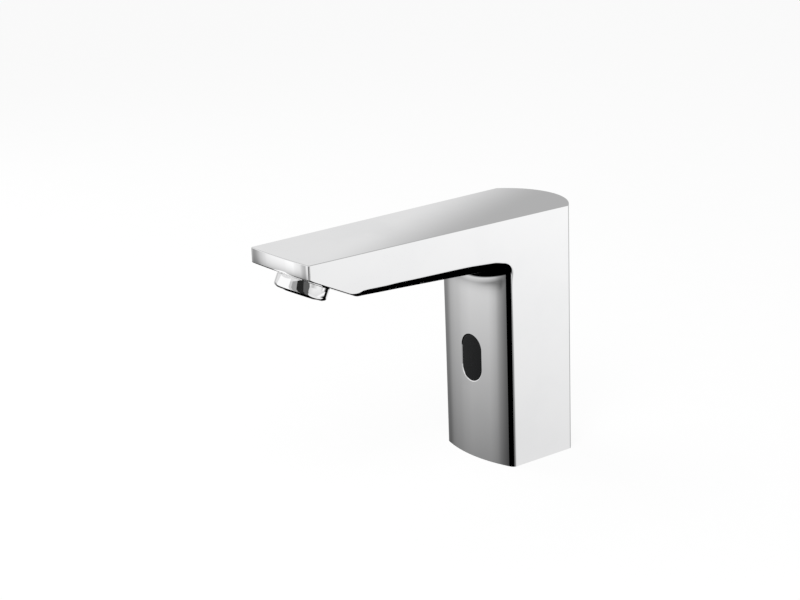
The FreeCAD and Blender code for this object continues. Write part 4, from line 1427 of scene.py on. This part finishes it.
FINISHES = (
    Finish("chrome", (0.97, 0.97, 0.975), (0.955, 0.956, 0.962), (0.02, 0.045), 1.0,
           Pattern.POLISH, 600.0, bump=0.02, depth=0.000004),
    Finish("raw_casting", (0.62, 0.47, 0.24), (0.50, 0.37, 0.19), (0.45, 0.62), 1.0,
           Pattern.MOTTLE, 900.0, bump=0.5, depth=0.00008),
    Finish("dark_window", (0.0035, 0.0038, 0.0042), (0.005, 0.005, 0.0055), (0.07, 0.12), 0.0,
           Pattern.POLISH, 500.0, bump=0.02, depth=0.000004, specular=0.2),
    Finish("black_plastic", (0.035, 0.036, 0.04), (0.05, 0.05, 0.054), (0.42, 0.55), 0.0,
           Pattern.GRAIN, 2600.0, bump=0.25, depth=0.00003),
    Finish("pale_plastic", (0.75, 0.76, 0.73), (0.69, 0.70, 0.67), (0.34, 0.46), 0.0,
           Pattern.GRAIN, 2200.0, bump=0.2, depth=0.00003),
    Finish("laminate", (0.018, 0.19, 0.085), (0.03, 0.26, 0.12), (0.28, 0.4), 0.0,
           Pattern.BRUSH, 1500.0, (1.0, 1.0, 0.15), 0.15, coat=0.4),
    Finish("clear_epoxy", (0.66, 0.73, 0.80), (0.72, 0.78, 0.84), (0.05, 0.12), 0.0,
           Pattern.POLISH, 700.0, bump=0.03, coat=0.6),
    Finish("dark_epoxy", (0.035, 0.018, 0.03), (0.055, 0.03, 0.045), (0.06, 0.14), 0.0,
           Pattern.POLISH, 700.0, bump=0.03, coat=0.6),
    Finish("steel", (0.60, 0.61, 0.62), (0.50, 0.51, 0.52), (0.2, 0.36), 1.0,
           Pattern.BRUSH, 1400.0, (1.0, 1.0, 0.12), 0.2),
    Finish("brass", (0.76, 0.58, 0.28), (0.64, 0.47, 0.22), (0.2, 0.34), 1.0,
           Pattern.MOTTLE, 1100.0, bump=0.2),
    Finish("copper", (0.74, 0.36, 0.20), (0.60, 0.26, 0.14), (0.22, 0.34), 1.0,
           Pattern.MOTTLE, 1300.0, bump=0.15, coat=0.5),
    Finish("magnet", (0.20, 0.20, 0.21), (0.14, 0.14, 0.15), (0.35, 0.5), 1.0,
           Pattern.MOTTLE, 1500.0, bump=0.3),
    Finish("rubber", (0.022, 0.022, 0.023), (0.035, 0.035, 0.036), (0.6, 0.75), 0.0,
           Pattern.GRAIN, 3000.0, bump=0.3),
    Finish("soft_rubber", (0.28, 0.10, 0.075), (0.34, 0.13, 0.10), (0.55, 0.7), 0.0,
           Pattern.GRAIN, 3000.0, bump=0.25),
)


@dataclass
class SensorEye:
    """The dark window in the column, with its flange behind the wall."""

    z: float = 55.6
    half_width: float = 7.44
    straight: float = 5.1
    front_half: float = 27.08
    front_bow: float = 4.9
    front_y: float = -24.3
    inset: float = 0.12
    edge: float = 0.3
    wall_y: float = -24.6
    flange_y: float = -22.5
    flange_grow: float = 2.26
    shares: tuple = (0.02, 0.25, 0.5, 0.75, 1.0)
    turns: int = 21
    edge_steps: int = 6

    def loop(self, half: float, share: float, y: float | None, depth: float) -> tuple:
        """One upright oval of points.

        Args:
            half: half its width.
            share: how much of the oval's straight length it keeps.
            y: a level for all points, or none to follow the bowed front.
            depth: how far behind that front it lies.

        Returns:
            Its points, the front's normals and the outward directions there.
        """
        turns = np.concatenate([np.linspace(0, math.pi, self.turns),
                                np.linspace(math.pi, 2 * math.pi, self.turns)])
        lift = np.repeat((1.0, -1.0), self.turns) * self.straight * share
        x, z = half * np.cos(turns), self.z + lift + half * np.sin(turns)
        arc = (self.front_half ** 2 + self.front_bow ** 2) / (2 * self.front_bow)
        front = self.front_y - (np.sqrt(arc ** 2 - x ** 2) - (arc - self.front_bow)) + depth
        level = front if y is None else np.full(len(x), y)
        normal = np.stack([x / arc, -np.sqrt(1 - (x / arc) ** 2), 0 * x], axis=1)
        side = np.stack([np.cos(turns), 0 * x, np.sin(turns)], axis=1)
        points = np.stack([x, level, z], axis=1)
        closed = [np.concatenate([v, v[:1]]) for v in (points, normal, side)]
        return tuple(closed)

    def build(self, dark: bpy.types.Material) -> None:
        """Makes the window.

        Args:
            dark: its finish.
        """
        skin = Skin()
        rows = []
        face = self.half_width - self.edge
        for share in self.shares:
            points, normal, _ = self.loop(face * share, share, None, self.inset)
            rows.append((points, normal))
        for swing in np.linspace(0, math.pi / 2, self.edge_steps)[1:]:
            points, normal, side = self.loop(face + self.edge * math.sin(swing), 1.0, None,
                                             self.inset + self.edge * (1 - math.cos(swing)))
            rows.append((points, math.cos(swing) * normal + math.sin(swing) * side))
        points, _, side = self.loop(self.half_width, 1.0, self.wall_y, 0.0)
        rows.append((points, side))
        skin.grid(np.array([r[0] for r in rows]), np.array([r[1] for r in rows]))
        skin.patch(rows[0][0][:-1], rows[0][1][:-1])
        wide = self.half_width + self.flange_grow
        outer, _, around = self.loop(wide, 1.0, self.wall_y, 0.0)
        back, _, _ = self.loop(wide, 1.0, self.flange_y, 0.0)
        forward = np.tile((0.0, -1.0, 0.0), (len(outer), 1))
        skin.grid(np.array([points, outer]), np.array([forward, forward]))
        skin.grid(np.array([outer, back]), np.array([around, around]))
        skin.patch(back[:-1], [(0, 1, 0)])
        mesh = skin.mesh("eye_window")
        settle_normals(mesh)
        Piece("tap_body", "dark_window").place("eye_window", mesh, [dark], "sensor_window")


@dataclass
class Aerator:
    """The screwed outlet under the spout's tip: its ring, thread and screen."""

    axis: Axis = Axis((0.0, -133.5, 120.734), (0.0, 0.438371, 0.898794))
    collar: float = 13.35
    thread: float = 11.95
    root: float = 11.5
    bore: float = 10.2
    lip: float = 8.6
    seat: float = -0.6
    collar_end: float = -5.7
    nose: float = -7.7
    inner_end: float = 5.8
    flats: float = 12.4
    flats_top: float = -2.5
    flats_cut: tuple[float, float] = (4.0, 40.0)
    faces: int = 96
    ridge: float = 0.33
    ridge_start: float = 0.9
    ridge_height: float = 4.4
    ridge_turns: float = 4.4
    screen_radius: float = 8.8
    screen_rim: float = 0.8
    screen_pitch: float = 1.75
    screen_wall: float = 0.24
    screen_depth: float = 1.0
    screen_level: float = -4.8

    def ring(self, plating: bpy.types.Material) -> None:
        """Makes the ring, with two spanner flats cut into its collar.

        Args:
            plating: its finish.
        """
        skin = turned_skin(self.axis, (
            (self.bore, self.collar_end + 0.2, 0), (self.lip, self.collar_end + 0.2, 0.1),
            (self.lip, self.nose, 0.12), (8.9, self.nose, 0.2), (11.6, self.nose + 0.45, 1.2),
            (12.95, self.nose + 1.15, 0.8), (self.collar, self.collar_end, 0.9),
            (self.collar, self.seat, 0.25), (self.root, self.seat, 0),
            (self.root, self.inner_end, 0.2), (self.bore, self.inner_end, 0.1)), self.faces)
        mesh = skin.mesh("aerator_ring")
        for sign in (1, -1):
            form = bmesh.new()
            bmesh.ops.create_cube(form, size=1.0)
            low = self.nose - 1.0
            thick, wide = self.flats_cut
            size = Matrix.Diagonal((thick * MM, wide * MM, (self.flats_top - low) * MM, 1))
            spot = Vector((sign * (self.flats + thick / 2), 0, (self.flats_top + low) / 2)) * MM
            form.transform(self.axis.matrix() @ Matrix.Translation(spot) @ size)
            box = bpy.data.meshes.new("flat_cutter")
            form.to_mesh(box)
            form.free()
            mesh = boolean(mesh, box, "DIFFERENCE")
        settle_normals(mesh)
        Piece("aerator_shell", "chrome").place("aerator_ring", mesh, [plating],
                                               "aerator_housing")

    def threads(self, plating: bpy.types.Material) -> None:
        """Winds the fine thread round the ring's inner end.

        Args:
            plating: its finish.
        """
        flow = Flow("thread_ridge", radius=(self.thread - 0.27) * MM, ridge=self.ridge * MM,
                    height=self.ridge_height * MM, turns=self.ridge_turns)
        mesh = wound(flow, 4, plating, self.axis.matrix(self.ridge_start))
        Piece("aerator_shell", "chrome").place("aerator_thread", mesh, [plating])

    def screen(self, pale: bpy.types.Material) -> None:
        """Makes the honeycomb screen in the outlet.

        Args:
            pale: its finish.
        """
        mesh = Honeycomb("outlet_honeycomb", self.screen_radius, self.screen_rim,
                         self.screen_pitch, self.screen_wall, self.screen_depth
                         ).build(pale, self.axis.matrix(self.screen_level))
        Piece("aerator_insert", "pale_plastic").place("outlet_screen", mesh, [pale],
                                                      "aerator_screen")


def wound(flow: Flow, sides: int, material: bpy.types.Material, matrix: Matrix,
          grain: int = 40) -> bpy.types.Mesh:
    """Winds a closed ridge or wire with a node tree that has radius, ridge, height and turns.

    Args:
        flow: the tree, just started.
        sides: how many faces go round the wire.
        material: its finish.
        matrix: where it goes.
        grain: how many pieces each turn has.

    Returns:
        The mesh, in place.
    """
    line = flow.add("CurveSpiral", {
        "Resolution": grain, "Rotations": flow.size("turns"), "Start Radius": flow.size("radius"),
        "End Radius": flow.size("radius"), "Height": flow.size("height")})
    wire = flow.add("CurvePrimitiveCircle", {"Resolution": sides, "Radius": flow.size("ridge")})
    tube = flow.add("CurveToMesh", {"Curve": line.outputs[0], "Profile Curve": wire.outputs[0],
                                    "Fill Caps": True})
    shaded = flow.add("SetShadeSmooth", {"Geometry": tube.outputs[0], "Shade Smooth": sides > 4})
    return flow.bake(shaded.outputs[0], material, matrix)


@dataclass
class Honeycomb:
    """A round frame that a node tree fills with six-sided cells."""

    name: str
    radius: float
    rim: float
    pitch: float
    wall: float
    depth: float

    def build(self, material: bpy.types.Material, matrix: Matrix) -> bpy.types.Mesh:
        """Makes the frame and its cells.

        Args:
            material: their finish.
            matrix: where they go.

        Returns:
            The mesh, in place.
        """
        flow = Flow(self.name, radius=self.radius * MM, rim=self.rim * MM,
                    pitch=self.pitch * MM, wall=self.wall * MM, depth=self.depth * MM,
                    count=int(2 * self.radius / self.pitch) + 3)
        pitch_out = flow.size("pitch")
        rise = flow.math("MULTIPLY", pitch_out, math.sqrt(0.75))
        steps = flow.math("SUBTRACT", flow.size("count"), 1)
        net = flow.add("MeshGrid", {
            "Size X": flow.math("MULTIPLY", pitch_out, steps),
            "Size Y": flow.math("MULTIPLY", rise, steps),
            "Vertices X": flow.size("count"), "Vertices Y": flow.size("count")})
        where = flow.add("InputPosition").outputs[0]
        parts = flow.add("ShaderNodeSeparateXYZ", {0: where})
        row = flow.math("ROUND", flow.math("DIVIDE", parts.outputs["Y"], rise))
        odd = flow.math("MODULO", flow.math("ABSOLUTE", row), 2)
        offset = flow.combine(flow.math("MULTIPLY", odd, flow.math("MULTIPLY", pitch_out, 0.5)))
        moved = flow.add("SetPosition", {"Geometry": net.outputs[0], "Offset": offset})
        away = flow.add("ShaderNodeVectorMath", {0: flow.add("InputPosition").outputs[0]},
                        operation="LENGTH").outputs["Value"]
        reach = flow.math("SUBTRACT", flow.size("radius"), flow.math("MULTIPLY", pitch_out, 0.52))
        outside = flow.add("FunctionNodeCompare", {0: away, 1: reach}, operation="GREATER_THAN")
        kept = flow.add("DeleteGeometry", {"Geometry": moved.outputs[0],
                                           "Selection": outside.outputs[0]})
        side = flow.math("DIVIDE", pitch_out, math.sqrt(3))
        cell = flow.add("CurvePrimitiveCircle", {"Resolution": 6, "Radius": side})
        bar = flow.add("CurvePrimitiveQuadrilateral", {"Width": flow.size("wall"),
                                                       "Height": flow.size("depth")})
        ring = flow.add("CurveToMesh", {"Curve": cell.outputs[0], "Profile Curve": bar.outputs[0]})
        turned = flow.add("Transform", {"Geometry": ring.outputs[0],
                                        "Rotation": (0.0, 0.0, math.pi / 6)})
        cells = flow.add("InstanceOnPoints", {"Points": kept.outputs[0],
                                              "Instance": turned.outputs[0]})
        edge = flow.add("CurvePrimitiveCircle", {
            "Resolution": 64, "Radius": flow.math("SUBTRACT", flow.size("radius"),
                                                  flow.math("MULTIPLY", flow.size("rim"), 0.5))})
        frame = flow.add("CurvePrimitiveQuadrilateral", {"Width": flow.size("rim"),
                                                         "Height": flow.size("depth")})
        hoop = flow.add("CurveToMesh", {"Curve": edge.outputs[0],
                                        "Profile Curve": frame.outputs[0]})
        both = flow.add("JoinGeometry")
        flow.tree.links.new(cells.outputs[0], both.inputs[0])
        flow.tree.links.new(hoop.outputs[0], both.inputs[0])
        return flow.bake(both.outputs[0], material, matrix)


@dataclass
class Spring:
    """A spring of round wire, wound at one fixed height; its joint and stroke are kept, but
    nothing shortens it as the joint moves.
    """

    name: str
    node: str
    axis: Axis
    radius: float
    wire: float
    height: float
    turns: float
    joint: str
    stroke: float
    sides: int = 10

    def wind(self, steel: bpy.types.Material) -> None:
        """Makes the spring.

        Args:
            steel: its finish.
        """
        flow = Flow(self.name + "_wire", radius=self.radius * MM, ridge=self.wire * MM,
                    height=(self.height - 2 * self.wire) * MM, turns=self.turns)
        mesh = wound(flow, self.sides, steel, self.axis.matrix(self.wire))
        spring = Piece("tap_body", "steel").place(self.name, mesh, [steel], self.node)
        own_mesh(spring)


@dataclass
class Waterway:
    """The valve's wound parts and the inlet's filter."""

    springs: tuple = (
        Spring("check_spring", "check_valve_spring", Axis((0.0, -8.0, 18.6)), 4.4, 0.4, 11.4, 3.5,
               "non_return_lift", 3.0),
        Spring("core_spring", "plunger_spring", Axis((0.0, 4.0, 92.0), (0.0, 1.0, 0.0)), 1.7, 0.3,
               9.0, 4.0, "plunger_stroke", 2.8),
    )
    coil_axis: Axis = Axis((0.0, 0.0, 92.0), (0.0, 1.0, 0.0))
    coil_core: tuple = ((5.6, 4.6, 0.0), (8.3, 4.6, 0.2), (8.3, 16.8, 0.2), (5.6, 16.8, 0.0))
    coil_faces: int = 48
    coil_start: float = 5.0
    coil_radius: float = 8.45
    coil_wire: float = 0.3
    coil_height: float = 11.4
    coil_turns: float = 20.0
    strainer: Honeycomb = field(
        default_factory=lambda: Honeycomb("inlet_mesh", 4.15, 0.4, 0.8, 0.16, 0.8))
    strainer_axis: Axis = Axis((0.0, -8.0, 12.4))

    def build(self, steel: bpy.types.Material, copper: bpy.types.Material) -> None:
        """Makes the springs, the winding and the strainer.

        Args:
            steel: the springs' and the strainer's finish.
            copper: the winding's finish.
        """
        for spring in self.springs:
            spring.wind(steel)
        self.winding(copper)
        self.filter(steel)

    def winding(self, copper: bpy.types.Material) -> None:
        """Winds the coil: its outer layer of wire over a plain core.

        Args:
            copper: its finish.
        """
        core = turned_skin(self.coil_axis, self.coil_core, self.coil_faces).mesh("coil_core")
        settle_normals(core)
        Piece("tap_body", "copper").place("coil_core", core, [copper], "coil_winding")
        flow = Flow("coil_wire", radius=self.coil_radius * MM, ridge=self.coil_wire * MM,
                    height=self.coil_height * MM, turns=self.coil_turns)
        mesh = wound(flow, 8, copper, self.coil_axis.matrix(self.coil_start), 32)
        Piece("tap_body", "copper").place("coil_turns", mesh, [copper])

    def filter(self, steel: bpy.types.Material) -> None:
        """Makes the strainer at the inlet, in the given steel."""
        mesh = self.strainer.build(steel, self.strainer_axis.matrix())
        Piece("tap_body", "steel").place("inlet_strainer", mesh, [steel], "inlet_filter")


def dress(frame: dict, finishes: dict) -> None:
    """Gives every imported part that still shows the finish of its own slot.

    Args:
        finishes: materials by slot.
    """
    for name, item in frame["nodes"].items():
        for slot in item.material_slots:
            wanted = slot.material.name.split(".")[0] if slot.material else ""
            slot.material = finishes.get(wanted, finishes["steel"])
            LOG.info("%s: %s", name, wanted)


def main(frame: dict) -> None:
    """Builds everything in order.
    """
    logging.basicConfig(level=logging.INFO, format="%(name)s: %(message)s")
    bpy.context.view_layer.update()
    bpy.context.scene.view_settings.view_transform = "Standard"
    Viewpoint().build()
    Studio().build()
    finishes = {finish.slot: finish.material() for finish in FINISHES}
    dress(frame, finishes)
    Casting().build(finishes["chrome"], finishes["raw_casting"])
    SensorEye().build(finishes["dark_window"])
    aerator = Aerator()
    aerator.ring(finishes["chrome"])
    aerator.threads(finishes["chrome"])
    aerator.screen(finishes["pale_plastic"])
    Waterway().build(finishes["steel"], finishes["copper"])


if __name__ == "__main__":
    main(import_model())
